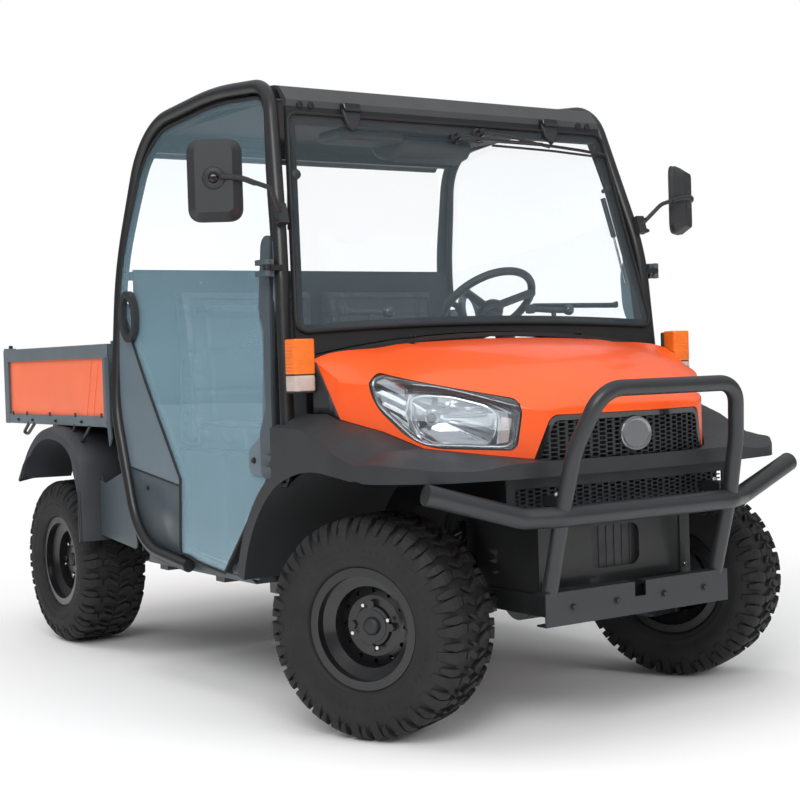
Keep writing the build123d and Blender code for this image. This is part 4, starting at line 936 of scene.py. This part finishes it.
# ---- turn signals ----
def stack(name, x, y, outline, levels, body, material, slot=None):
    """Upright body from an outline, with (height, scale) levels."""
    points, n = [], len(outline)
    for z, scale in levels:
        points += [P(x + u * scale, y + v * scale, z) for u, v in outline]
    faces = [list(range(n))[::-1], [len(points) - n + i for i in range(n)]] + loft_faces(len(levels), n)
    return add_mesh(name, points, faces, body, material, slot, angle=50)


LENS_PLAN = rounded([(-30, -37), (30, -37), (30, 37), (-30, 37)], 13, 5)


def ribbed(low, high, pitch, swell):
    """Levels of a lens with ribs round it."""
    levels = [(low, 0.9), (low + 1.5, 0.955)]
    z = low + 3
    while z < high - pitch:
        levels += [(z, 0.955), (z + pitch * 0.3, 0.955 + swell), (z + pitch * 0.7, 0.955 + swell),
                   (z + pitch, 0.955)]
        z += pitch
    return levels + [(high - 2, 0.955), (high, 0.88)]


for side, tag in SIDES:
    amber = stack("signal_amber_" + tag, -152, side * 742, LENS_PLAN, ribbed(1018, 1119, 9.5, 0.022),
                  "chassis", "lamp_amber")
    if side > 0:
        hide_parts("turn_signals")
    stack("signal_clear_" + tag, -152, side * 742, LENS_PLAN, ribbed(970, 1016, 7.5, 0.02), "chassis",
          "lamp_white", "lamp_amber")
    stack("signal_base_" + tag, -154, side * 741, LENS_PLAN,
          [(964.6, 0.8), (966, 0.98), (971, 0.98), (972.5, 0.9)], "chassis", "black_plastic")
    stack("signal_joint_" + tag, -153, side * 741.5, LENS_PLAN,
          [(1014.5, 0.9), (1015, 0.97), (1018.5, 0.97), (1019, 0.9)], "chassis", "black_plastic")
    block("signal_back_" + tag, (-188, side * 738, 1042), (14, 58, 146), "chassis", "black_plastic", bevel=4)
    block("signal_bracket_" + tag, (-214, side * 727, 1040), (52, 15, 35), "chassis", "black_plastic",
          bevel=3)


# ---- cab glass and trim ----
# way out of the windshield, and a mirror's way ahead with how far its glass lies behind its rim's plane
GLASS_OUT = (1, 0, 0.22)
MIRROR_AHEAD, MIRROR_OUT, MIRROR_DEEP = 0.848, 0.53, 14


def outer_edge(side):
    """Test for the edges of a side's outer faces."""
    def keep(at, normals):
        return at.y * side > 0 and any(n.y * side > 0.7 for n in normals)
    return keep


for side, tag in SIDES:
    door = "door_" + tag
    trim("door_seal_" + tag, f"door_{tag}_glass", outer_edge(side), 5.0, door, "seal_rubber",
         lift=(0, 1.5 * side, 0))
    trim("quarter_seal_" + tag, "quarter_panels", outer_edge(side), 2.6, "chassis", "seal_rubber")
    # strut knob, gas strut and opening latch behind the windshield
    knob = plane_at(-352, side * 622, 1612, GLASS_OUT)
    lathe("strut_knob_" + tag, [(0, 22), (9, 20.5), (15, 15), (16.5, 8), (13, 1), (7, -3), (7, -16),
                                (0, -16)], knob, "chassis", "black_plastic", steps=24)
    tube("strut_body_" + tag, [(-372, side * 626, 1585), (-344, side * 646, 1450)], 9, "chassis",
         "black_steel")
    tube("strut_rod_" + tag, [(-346, side * 645, 1460), (-312, side * 664, 1290)], 4, "chassis",
         "bright_steel")
    y = -347 if side < 0 else 377
    ball = plane_at(-281, y, 1198, GLASS_OUT)
    lathe("latch_ball_" + tag, [(0, 19), (9, 17), (16, 10), (18, 1), (15, -9), (8, -16), (0, -17)], ball,
          "chassis", "gloss_black", "black_plastic", 28)
    tube("latch_grip_" + tag, [(-288, y, 1197), (-292, y - 60, 1198), (-294, y - 150, 1203)], 9, "chassis",
         "cabin_plastic")
    block("latch_end_" + tag, (-294, y - 152, 1203), (26, 26, 30), "chassis", "cabin_plastic", bevel=6)
    tube("latch_stem_" + tag, [(-292, y - 55, 1196), (-288, y - 55, 1142)], 8, "chassis", "cabin_plastic")
    # windshield clip: hinged body with a tapering tongue over the glass edge
    clip = plane_at(-384.5, side * 396, 1829, (1, 0, 0.222))
    tongue = rounded([(-34, 12), (34, 12), (35, -18), (24, -56), (0, -78), (-24, -56), (-35, -18)],
                        (6, 6, 8, 10, 8, 10, 8), 4)
    prism("clip_tongue_" + tag, tongue, 12, clip, "chassis", "black_plastic", bevel=3.5, draft=0.1)
    prism("clip_cap_" + tag, rounded([(-37, 16), (37, 16), (33, -16), (-33, -16)], 9, 4), 18, clip, "chassis",
          "gloss_black", "black_plastic", 4, 0.15)
    tube("clip_pin_" + tag, [(-366, side * 396 - 31, 1823), (-366, side * 396 + 31, 1823)], 5, "chassis",
         "black_steel")
    for k, y in enumerate((535, 574)):
        plug = plane_at(-386.6, side * y, 1831, (1, 0, -0.1))
        lathe(f"header_plug_{tag}_{k}", [(0, 5), (6, 4.2), (10.5, 2.2), (11.5, 0), (11.5, -5), (0, -5)], plug,
              "chassis", "seal_rubber", steps=24)
    # small rubber catches at the hood's rear corners
    for k, shift in enumerate((-8, 8)):
        block(f"hood_catch_{tag}_{k}", (-196, side * 332 + shift, 1113), (44, 6, 9), "chassis", "seal_rubber",
              bevel=2, turn=(0, -24, 10))
    lathe("hood_catch_pin_" + tag, [(0, 6), (5, 5), (7, 2), (7, -3), (0, -3)],
          plane_at(-186, side * 352, 1107, (0, 0, 1)), "chassis", "black_steel", steps=16)

trim("windshield_seal", "windshield", lambda at, normals: any(n.x > 0.8 for n in normals), 5.5, "chassis",
     "seal_rubber", lift=(1.5, 0, 0.3))
# wiper: two pivots, two arms and a blade carrier along the glass
for k, (y, z, size) in enumerate([(-8, 1758, 1.0), (84, 1772, 1.15)]):
    pivot = plane_at(-367 + (1765 - z) * 0.2, y, z, GLASS_OUT)
    lathe(f"wiper_pivot_{k}", [(0, 30 * size), (10 * size, 28 * size), (13 * size, 18 * size),
                               (13 * size, 8 * size), (19 * size, 6 * size), (19 * size, 0), (0, 0)], pivot,
          "chassis", "gloss_black", "black_steel", 24)
    tube(f"wiper_arm_{k}", [(-340, y, z + 4), (-333, y + 120, z - 4), (-334, 330 + 30 * k, 1752 - 8 * k)], 5,
         "chassis", "gloss_black", "black_steel", bend=60)
strip("wiper_carrier", [(-337, 140, 1752), (-332, 340, 1749), (-336, 500, 1740), (-341, 616, 1730)], 9, 6,
      GLASS_OUT, "chassis", "gloss_black", "black_steel")
strip("wiper_blade", [(-347, 130, 1739), (-343, 380, 1733), (-347, 622, 1722)], 4, 12, GLASS_OUT, "chassis",
      "seal_rubber")

# mirrors: reflecting face, rim, and ball joint with its collar
for side, tag in SIDES:
    face = plane_at(-300 - MIRROR_AHEAD * MIRROR_DEEP, side * (917.4 - MIRROR_OUT * MIRROR_DEEP), 1580,
                    (-MIRROR_AHEAD, -MIRROR_OUT * side, 0))
    prism("mirror_glass_" + tag, rounded([(-68, -108), (68, -108), (68, 108), (-68, 108)], 34, 8), 1.6, face,
          "chassis", "mirror_glass", "bright_steel", 0.5)
    rim_line = rounded([(-76, -116), (76, -116), (76, 116), (-76, 116)], 39, 8)
    path = [face @ Vector((x / 1000, y / 1000, 0.0005)) for x, y in rim_line]
    bead("mirror_rim_" + tag, path, 3.2, "chassis", "black_plastic", cyclic=True)
    ball = plane_at(-271, side * 935.4, 1582, (MIRROR_AHEAD, side * MIRROR_OUT, 0))
    lathe("mirror_collar_" + tag, [(12, 6), (20, 8), (30, 4), (34, -3), (34, -12), (12, -12)], ball,
          "chassis", "black_plastic", steps=32, closed=True)
    lathe("mirror_ball_" + tag, [(0, 19), (8, 18), (14, 12), (16, 4), (14, -4), (0, -6)], ball, "chassis",
          "gloss_black", "black_plastic", 28)
    tube("mirror_neck_" + tag, [(-254, side * 925, 1586), (-238, side * 868, 1583), (-236, side * 820, 1568)],
         8.5, "chassis", "black_plastic", bend=30)
    for k, z in enumerate((1468, 1505)):
        bolt(f"mirror_bolt_{tag}_{k}", -270, side * (732 - (z - 1468) * 0.2), z, (0.4, side, 0), "chassis", 6)

# doors: hinge guards with their bolts, inner rail
SIDE_Y, SIDE_ARC, BELT_Z = 748, 4900, 900
GUARD_LOW, GUARD_TOP = 716, 1412
# how far a guard's back and face lie inside the cab's side
GUARD_BACK, GUARD_FACE = 9, 2
GUARD_OUTLINE = rounded([(-304, GUARD_TOP), (-352, GUARD_TOP), (-400, 1330), (-400, 1200), (-368, 1140),
                         (-368, 1000), (-380, 835), (-468, 800), (-468, GUARD_LOW), (-310, GUARD_LOW),
                         (-290, 750), (-290, 812), (-304, 850)], 34, 6)


def skin_y(z):
    """Outer face of the cab's side: upright to the belt, then leaning in on a wide arc."""
    return SIDE_Y - SIDE_ARC + (SIDE_ARC ** 2 - max(z - BELT_Z, 0) ** 2) ** 0.5


def span_at(outline, z):
    """Least and greatest X of a closed outline at a height."""
    found = []
    for (x0, z0), (x1, z1) in zip(outline, outline[1:] + outline[:1]):
        if min(z0, z1) <= z <= max(z0, z1) and z0 != z1:
            found.append(x0 + (x1 - x0) * (z - z0) / (z1 - z0))
    return min(found), max(found)


for side, tag in SIDES:
    door = "door_" + tag
    rows, points = 44, []
    for k in range(rows + 1):
        z = GUARD_LOW + (GUARD_TOP - GUARD_LOW) * (0.5 - cos(pi * k / rows) / 2)
        z = min(max(z, GUARD_LOW + 0.6), GUARD_TOP - 0.6)
        rear, fore = span_at(GUARD_OUTLINE, z)
        low, high = side * (skin_y(z) - GUARD_BACK), side * (skin_y(z) - GUARD_FACE)
        points += [P(rear, low, z), P(fore, low, z), P(fore - 3, high, z), P(rear + 3, high, z)]
    faces = loft_faces(rows + 1, 4) + [[3, 2, 1, 0], [4 * rows + i for i in range(4)]]
    add_mesh("hinge_guard_" + tag, points, faces, door, "quarter_grey", "grey_panel", angle=50)
    for k, (x, z) in enumerate([(-366, 1193), (-432, 762)]):
        bolt(f"door_bolt_{tag}_{k}", x, side * (skin_y(z) - GUARD_FACE), z, (0, side, 0.05), door, 8)
    tube("door_rail_" + tag, [(-840, side * 688, 1236), (-600, side * 690, 1226), (-390, side * 692, 1217)],
         9, door, "cabin_plastic", "seal_rubber")
    for k, x in enumerate((-820, -420)):
        tube(f"door_rail_post_{tag}_{k}", [(x, side * 689, 1232 if k == 0 else 1218), (x, side * 722, 1226)],
             7, door, "cabin_plastic", "seal_rubber")

# lower cover of the quarter panels, below a seam that falls forward
SEAM_REAR, SEAM_FORE = (-1235, 693), (-939, 656)
SEAM_FALL = (SEAM_FORE[1] - SEAM_REAR[1]) / (SEAM_FORE[0] - SEAM_REAR[0])
quarter_y = 1000 * max(abs(c.y) for corners, normal in cad_faces("quarter_panels") for c in corners)
for side, tag in SIDES:
    outer = [(corners, normal) for corners, normal in cad_faces("quarter_panels") if normal.y * side > 0.5]
    cut_shell("quarter_cover_" + tag, outer, P(SEAM_REAR[0], 0, SEAM_REAR[1]), (-SEAM_FALL, 0, 1), 2.0,
              "chassis", "grey_panel")
    seam = [(x, side * (quarter_y + 1), SEAM_REAR[1] + SEAM_FALL * (x - SEAM_REAR[0])) for x in (-1340, -954)]
    tube("quarter_seam_" + tag, seam, 2.6, "chassis", "seal_rubber")
    bolt(f"quarter_bolt_{tag}", -1199, side * (quarter_y + 1.5), 639, (0, side, 0), "chassis", 7)

# ---- cargo bed ----
FILLER_NECK = [(0, 34), (26, 34), (33, 30), (35, 22), (35, 8), (28, 6), (28, -40), (0, -40)]
BREATHER = [(0, 16), (12, 16), (15, 12), (15, -30), (0, -30)]
for side, tag in SIDES:
    y = side * 738
    block("bed_rail_" + tag, (-2012, y, 1113), (1032, 7, 46), "bed", "bed_steel", bevel=2)
    block("bed_rail_lip_" + tag, (-2012, side * 722, 1137.5), (1032, 40, 5), "bed", "bed_steel", bevel=2)
    block("bed_skirt_" + tag, (-2012, y, 860), (1032, 7, 38), "bed", "bed_steel", bevel=2)
    for k, x in enumerate((-1515, -2507)):
        block(f"bed_post_{tag}_{k}", (x, side * 740, 988), (42, 8, 296), "bed", "bed_steel", bevel=2.5)
    for k, x in enumerate((-1560, -1800, -2050, -2290, -2440)):
        block(f"bed_tab_{tag}_{k}", (x, side * 742, 882), (12, 4, 16), "bed", "black_plastic", "bed_steel", 1)
        bolt(f"bed_bolt_{tag}_{k}", x + 60, side * 741.5, 857, (0, side, 0), "bed", 5)
    tube(f"bed_hook_rear_{tag}", [(-2278, y, 846), (-2338, y, 806), (-2296, y, 800), (-2216, y, 846)], 6.5,
         "bed", "black_steel", "bed_steel", bend=14)
    tube(f"bed_hook_front_{tag}", [(-1812, y, 846), (-1842, y, 789), (-1752, y, 781), (-1672, y, 842)], 6.5,
         "bed", "black_steel", "bed_steel", bend=16)
    # guard plate between the bed and the cab hoop
    guard = plane_at(0, side * 752, 0, (0, side, 0))
    corners = [(-1484, 1092), (-1452, 1092), (-1450, 850), (-1440, 806), (-1464, 772), (-1478, 850)]
    flat = [(guard.inverted() @ P(x, side * 752, z)) for x, z in corners]
    prism("pillar_guard_" + tag, rounded([(v.x * 1000, v.y * 1000) for v in flat], 5, 3), 6, guard, "chassis",
          "grey_panel", bevel=2)
    # tailgate latch
    block("latch_plate_" + tag, (-2522, side * 716, 1120), (10, 52, 50), "tailgate", "bed_steel",
          "orange_paint", 3)
    block("latch_lever_" + tag, (-2524, side * 712, 1124), (8, 18, 66), "tailgate", "black_plastic",
          "orange_paint", 4)
    neck, profile = ("filler_neck_", FILLER_NECK) if side < 0 else ("breather_", BREATHER)
    lathe(neck + tag, profile, plane_at(-1560, side * 640, 716, (0.1, side * 0.45, 1)), "chassis",
          "black_plastic", steps=36)

# ---- rear fenders ----
# across the sheet: distance outboard and depth towards the wheel
FENDER_SECTION = [(560, 0), (700, -3), (752, -1), (774, 6), (783, 18), (785, 46), (781, 46), (779, 21),
                  (771, 11), (750, 4), (700, 2), (560, 5)]
# the arch from the rear axle, seen from the side
FENDER = [(355, 418), (355, 650), (338, 742), (262, 806), (150, 835), (30, 838), (-80, 806), (-178, 738),
          (-262, 622)]
for side, tag in SIDES:
    arch = [(-WHEELBASE + x, z) for x, z in FENDER]
    path = round_path([Vector((x, 0, z)) for x, z in arch], 60, False, 5)
    points, n = [], len(FENDER_SECTION)
    for i, at in enumerate(path):
        ahead = (path[min(i + 1, len(path) - 1)] - path[max(i - 1, 0)]).normalized()
        inward = Vector((ahead.z, 0, -ahead.x))
        if inward.dot(Vector((-WHEELBASE, 0, TYRE_RADIUS)) - at) < 0:
            inward = -inward
        fade = min(1.0, (i + 1) / 6, (len(path) - i) / 6)
        for y, deep in FENDER_SECTION:
            spot = at + inward * (deep * (fade if deep > 20 else 1))
            points.append(P(spot.x, side * y, spot.z))
    faces = loft_faces(len(path), n) + [list(range(n))[::-1], [(len(path) - 1) * n + k for k in range(n)]]
    skin = add_mesh("fender_skin_" + tag, points, faces, "chassis", "fender_plastic", "black_plastic",
                    bevel=1.0)
    if side > 0:
        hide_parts("rear_fenders")
    for k, (x, z, inner) in enumerate([(339, 550, 270), (-105, 751, 290)]):
        block(f"fender_strut_{tag}_{k}", (-WHEELBASE + x, side * (inner + 600) / 2, z), (26, 600 - inner, 20),
              "chassis", "black_steel", "black_plastic", 3)
        bolt(f"fender_bolt_{tag}_{k}", -WHEELBASE + x + (17 if k == 0 else 0), side * 640,
             z + (0 if k == 0 else 12), (1, 0, 0) if k == 0 else (0, 0, 1), "chassis", 7, "black_plastic",
             "black_steel")


# ---- guard and plate ----
for k, y in enumerate((-250, -90, 90, 250)):
    bolt(f"plate_bolt_{k}", 434.5, y, 361, (1, 0, 0), "chassis", 8, "guard_steel", "black_steel")
for side, tag in SIDES:
    block("guard_arm_" + tag, (436, side * 300, 655), (78, 34, 30), "chassis", "black_steel", "guard_steel",
          4)
    bolt("guard_arm_bolt_" + tag, 436, side * 300, 671, (0, 0, 1), "chassis", 7, "guard_steel",
         "bright_steel")
    lathe("bar_cap_" + tag, [(0, 3), (22, 2.5), (28, 0), (28.6, -4), (0, -4)],
          plane_at(373, side * 691, 699, (-0.2, side * 0.93, 0.28)), "chassis", "seal_rubber", "guard_steel",
          36)
    for k, z in enumerate((420, 600)):
        bolt(f"guard_foot_bolt_{tag}_{k}", 337, side * 268, z, (1, 0, 0), "chassis", 7, "black_steel",
             "bright_steel")

# ---- running gear detail ----
COIL_R, COIL_STEPS = 46, 12
for side, tag in SIDES:
    tube("brake_hose_" + tag, [(-60, side * 300, 470), (-70, side * 360, 380), (-66, side * 430, 330),
                               (-40, side * 480, 320)], 6, "chassis", "seal_rubber", bend=40)
    coil = []
    for k in range(8 * COIL_STEPS + 1):
        a = 2 * pi * k / COIL_STEPS
        centre = Vector((0, -425, 262)).lerp(Vector((-18, -322, 545)), k / (8 * COIL_STEPS))
        coil.append((centre.x + COIL_R * cos(a), side * -(centre.y + COIL_R * sin(a) * 0.94),
                     centre.z + COIL_R * sin(a) * 0.33))
    tube("spring_" + tag, coil, 6.5, "chassis", "black_steel", sides=8)
    tube("fuel_line_" + tag, [(-1500, side * 262, 420), (-1000, side * 300, 402), (-560, side * 300, 402)], 6,
         "chassis", "seal_rubber", bend=60)
block("radiator_core", (300, 0, 500), (26, 440, 190), "chassis", "engine_metal", bevel=4)
for k in range(14):
    block(f"radiator_fin_{k}", (314.5, -195 + 30 * k, 500), (3, 6, 176), "chassis", "engine_metal", bevel=0.8)

# ---- cab inside ----
BOSS_SPOT, COLUMN_RAKE = (-647, 326, 1218), radians(40)
for side, tag in SIDES:
    for k, y in enumerate((250, 520)):
        lathe(f"dash_vent_{tag}_{k}", [(18, 0), (36, 2), (40, 0), (40, -8), (18, -8)],
              plane_at(-480, side * y, 1040, (-1, 0, 0.1)), "chassis", "gloss_black", "cabin_plastic", 32,
              closed=True)
tube("dash_grab", [(-478, -420, 1060), (-520, -420, 1066), (-520, -160, 1066), (-478, -160, 1060)], 11,
     "chassis", "cabin_plastic", bend=30)
console = [(-480, 1776), (-480, 1742), (-500, 1712), (-560, 1700), (-640, 1722), (-690, 1776)]
console_points = [P(x, y, z) for y in (-140, 150) for x, z in console]
add_mesh("overhead_console", console_points, end_faces(len(console), True), "chassis", "cabin_plastic",
         bevel=14)
block("overhead_vent", (-520, -270, 1766), (150, 240, 40), "chassis", "cabin_plastic", bevel=14)
lathe("gear_knob", [(0, 22), (12, 20), (18, 10), (16, -2), (8, -12), (6, -14), (6, -120), (0, -120)],
      plane_at(-640, 96, 900, (0.15, 0, 1)), "chassis", "gloss_black", "cabin_plastic", 24)
lathe("wheel_boss", [(0, 12), (24, 12), (40, 8), (50, 0), (54, -12), (0, -12)],
      plane_at(*BOSS_SPOT, (-sin(COLUMN_RAKE), 0, cos(COLUMN_RAKE))), "steering_wheel", "black_plastic",
      steps=40)
for k, y in enumerate((-420, -150)):
    lathe(f"wall_screw_{k}", [(0, 3), (6, 3), (8, 0), (8, -2), (0, -2)], plane_at(-1377, y, 1352, (1, 0, 0)),
          "chassis", "bright_steel", "cabin_plastic", 16)


# ---- seats ----
# lengths in metres; the pads rest on the seat box and stay ahead of the rear wall
PAD_VOXEL, PAD_SWELL, SWELL_FRAMES, SEAT_BOX_TOP = 0.006, 0.012, 20, 0.7586
WELT_LIFT = 0.0012
WALL_FACE = (FRONT_AXLE_X - 1375) / 1000
# in millimetres: the welt cord, how far pads and welts lie inside a seat's width, its side wings, and the
# seats' names, middles and widths
WELT_RADIUS = 3.2
PAD_INSET, WELT_INSET, WING_WIDTH = 10, 16, 96
SEATS = (("driver", 310, 500), ("passenger", -270, 560))


def pad_start(name, outline, low, high):
    """Closed pad drawn a little small: a side-view outline across a width, remeshed evenly."""
    points = [P(x, y, z) for y in (low, high) for x, z in outline]
    obj = raw_mesh(name, points, end_faces(len(outline), True), merge=False)
    grid = obj.modifiers.new("grid", "REMESH")
    grid.mode = "VOXEL"
    grid.voxel_size = PAD_VOXEL
    bpy.context.view_layer.update()
    made = bpy.data.meshes.new_from_object(obj.evaluated_get(bpy.context.evaluated_depsgraph_get()))
    obj.modifiers.clear()
    obj.data = made
    return obj


def swell(pads, cap):
    """Blow the pads up as cloth, and hold each point within the cap of where it began."""
    for obj in pads:
        cloth = obj.modifiers.new("swell", "CLOTH")
        cloth.settings.use_pressure = True
        cloth.settings.uniform_pressure_force = 4
        cloth.settings.effector_weights.gravity = 0
        cloth.settings.tension_stiffness = 12
        cloth.settings.compression_stiffness = 12
        cloth.point_cache.frame_start, cloth.point_cache.frame_end = 1, SWELL_FRAMES
    for step in range(1, SWELL_FRAMES + 1):
        bpy.context.scene.frame_set(step)
    graph = bpy.context.evaluated_depsgraph_get()
    for obj in pads:
        moved = [v.co.copy() for v in obj.evaluated_get(graph).data.vertices]
        for vertex, target in zip(obj.data.vertices, moved):
            shift = target - vertex.co
            if shift.length > cap:
                shift *= cap / shift.length
            vertex.co += shift
        obj.modifiers.clear()
    bpy.context.scene.frame_set(1)


def finish_pad(obj, node, channels, base, spread=0.009, deep=0.007):
    """Sewn channels pressed in, the rest plane kept flat, then one subdivision."""
    data = obj.data
    normals = [v.normal.copy() for v in data.vertices]
    for vertex, normal in zip(data.vertices, normals):
        for near in channels:
            off = near(vertex.co, normal)
            if off is not None:
                vertex.co -= normal * deep * 2.718 ** (-(off / spread) ** 2)
        base(vertex)
    for poly in data.polygons:
        poly.use_smooth = True
    obj.modifiers.new("round", "SUBSURF").levels = 1
    obj.modifiers["round"].render_levels = 1
    place(obj, "chassis", "seat_vinyl")
    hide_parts(node)


def piping(name, obj, loop):
    """Welt cord laid on the pad's skin along a loop of points."""
    tree = BVHTree.FromPolygons([v.co for v in obj.data.vertices], [p.vertices for p in obj.data.polygons])
    path = []
    for point in loop:
        spot, normal = tree.find_nearest(point)[:2]
        path.append(spot + normal * WELT_LIFT)
    return bead(name, path, WELT_RADIUS, "chassis", "seal_rubber", "seat_vinyl", True)


CUSHION = rounded([(-1229, 768), (-869, 768), (-869, 838), (-1229, 843)], (14, 14, 30, 20), 4)
BACKREST = rounded([(-1262, 770), (-1364, 768), (-1364, 1318), (-1303, 1328), (-1252, 1000)],
                   (16, 12, 20, 34, 90), 4)
pads = {}
for name, y, width in SEATS:
    pads[name, "cushion"] = pad_start(name + "_seat", CUSHION, y - width / 2 + PAD_INSET,
                                      y + width / 2 - PAD_INSET)
    pads[name, "backrest"] = pad_start(name + "_back", BACKREST, y - width / 2 + PAD_INSET,
                                       y + width / 2 - PAD_INSET)
swell(list(pads.values()), PAD_SWELL)


def line_off(axis, value, facing):
    """Distance to a straight channel, on the faces that look one way."""
    def off(at, normal):
        return abs(at[axis] - value) if normal.dot(facing) > 0.45 else None
    return off


UP, AHEAD = Vector((0, 0, 1)), Vector((1, 0, 0.1)).normalized()
for name, y, width in SEATS:
    seat, back = pads[name, "cushion"], pads[name, "backrest"]
    wing = width / 2 - WING_WIDTH
    across = [line_off(1, (y + d) / 1000, UP) for d in (-wing, wing)]
    across += [line_off(0, (FRONT_AXLE_X + x) / 1000, UP) for x in (-960, -1080)]

    def rest_low(vertex):
        vertex.co.z = max(vertex.co.z, SEAT_BOX_TOP)

    def rest_back(vertex):
        vertex.co.x = max(vertex.co.x, WALL_FACE)
        vertex.co.z = max(vertex.co.z, SEAT_BOX_TOP)

    finish_pad(seat, name + "_cushion", across, rest_low)
    upright = [line_off(1, (y + d) / 1000, AHEAD) for d in (-wing, wing)]
    upright += [line_off(2, z / 1000, AHEAD) for z in (960, 1100, 1230)]
    finish_pad(back, name + "_backrest", upright, rest_back)
    half = width / 2 - WELT_INSET
    loop = rounded([(-1222, y - half), (-880, y - half), (-880, y + half), (-1222, y + half)], 40, 12)
    spread_loop = round_path([P(x, v, 852) for x, v in loop], 0.01, True, 2)
    piping(f"piping_{name}_seat", seat, spread_loop)
    loop = rounded([(y - half, 800), (y + half, 800), (y + half, 1316), (y - half, 1316)], 46, 12)
    dense = []
    for (v0, z0), (v1, z1) in zip(loop, loop[1:] + loop[:1]):
        cuts = max(int(hypot(v1 - v0, z1 - z0) / 14), 1)
        dense += [P(-1228, v0 + (v1 - v0) * k / cuts, z0 + (z1 - z0) * k / cuts) for k in range(cuts)]
    piping(f"piping_{name}_back", back, dense)


# ---- hood and front fascia: the CAD forms with their softer swells ----
SKIN_SHARP, SPLITS = 28, 5
HOOD_RISE = 40
# how far the wings' outer edge falls, what it falls besides towards the rear, and how wide the fall is
DROOP, DROOP_REAR, DROOP_WIDTH = 16, 26, 130


def smooth_step(value):
    """Eased from 0 to 1, and held outside that."""
    value = min(max(value, 0.0), 1.0)
    return value * value * (3 - 2 * value)


def reshape(name, node, rise, longest, body, material):
    """Copy of a CAD node, cut fine and raised by rise(x, |y|, z) millimetres."""
    skin = add_mesh(name, *loose_faces(cad_faces(node)), body, material, angle=SKIN_SHARP)
    work = bmesh.new()
    work.from_mesh(skin.data)
    for _ in range(SPLITS):
        far = [e for e in work.edges if e.calc_length() > longest / 1000]
        bmesh.ops.subdivide_edges(work, edges=far, cuts=1)
        bmesh.ops.triangulate(work, faces=[f for f in work.faces if len(f.verts) > 3])
    for vertex in work.verts:
        x, y, z = vertex.co.x * 1000 - FRONT_AXLE_X, abs(vertex.co.y) * 1000, vertex.co.z * 1000
        vertex.co.z += rise(x, y, z) / 1000
    work.to_mesh(skin.data)
    work.free()
    skin.data.set_sharp_from_angle(angle=radians(SKIN_SHARP))
    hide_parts(node)
    return skin


def hood_swell(x, y, z):
    """The rear corners rise to the cowl."""
    outboard, rearward, upward = (y - 430) / 270, (40 - x) / 190, (z - 905) / 110
    return HOOD_RISE * smooth_step(outboard) * smooth_step(rearward) * smooth_step(upward)


CHEEK_TOP, CHEEK_FOOT = (-146, 0, 1075), (-35, 0, 877)
# the wings' outer edge from above (x, |y|), and their shoulder from the side (x, z)
WING_PLAN = [(-400, 790), (70, 790), (250, 745), (375, 620), (425, 400), (440, 0)]
SHOULDER = [(-400, 908), (-90, 906), (60, 852), (150, 803), (398, 765), (500, 762)]


def to_edge(x, y):
    """Distance in plan to the wings' outer edge."""
    best = 1e9
    for (x0, y0), (x1, y1) in zip(WING_PLAN, WING_PLAN[1:]):
        along = ((x - x0) * (x1 - x0) + (y - y0) * (y1 - y0)) / ((x1 - x0) ** 2 + (y1 - y0) ** 2)
        along = min(max(along, 0), 1)
        best = min(best, hypot(x - x0 - along * (x1 - x0), y - y0 - along * (y1 - y0)))
    return best


def shoulder_z(x):
    """Height of the wings' shoulder."""
    for (x0, z0), (x1, z1) in zip(SHOULDER, SHOULDER[1:]):
        if x <= x1:
            return z0 + (z1 - z0) * (max(x, x0) - x0) / (x1 - x0)
    return SHOULDER[-1][1]


def wing_droop(x, y, z):
    """The wings fall away to their outer edge instead of ending in a flat shelf."""
    low = 695 if x < 150 else 722
    up = min(max((z - low) / (shoulder_z(x) - low), 0), 1)
    near = smooth_step(1 - to_edge(x, y) / DROOP_WIDTH)
    most = DROOP + DROOP_REAR * smooth_step((260 - x) / 200)
    return -most * near * near * up * smooth_step((y - 400) / 150)


hood_skin = reshape("hood_skin", "hood", hood_swell, 45, "hood", "orange_paint")
# cowl cheeks: the hood's flank ends at a line that falls forward, and black panels fill the wedge behind it
for side, tag in SIDES:
    flank = []
    for poly in hood_skin.data.polygons:
        corners = [hood_skin.data.vertices[i].co.copy() for i in poly.vertices]
        if poly.normal.y * side > 0.6 and poly.center.x * 1000 - FRONT_AXLE_X < 40:
            flank.append((corners, poly.normal.copy()))
    ahead = (CHEEK_TOP[2] - CHEEK_FOOT[2], 0, CHEEK_FOOT[0] - CHEEK_TOP[0])
    cut_shell("cowl_cheek_" + tag, flank, P(*CHEEK_TOP), ahead, 1.6, "chassis", "black_plastic")
fascia = reshape("fascia_skin", "front_fascia", wing_droop, 32, "chassis", "black_plastic")
bevel_edges(fascia, 5, angle=40)

# soft edges on the moulded panels, in millimetres
SOFT_EDGES = {"cowl": 2.5, "roof": 4, "bed": 1.5, "frame": 1.5, "brush_guard": 1.0, "dashboard": 6,
              "seat_box": 6, "rockers": 2.5, "side_panels": 1.5}
for node, width in SOFT_EDGES.items():
    bevel_edges(nodes[node], width, angle=40)
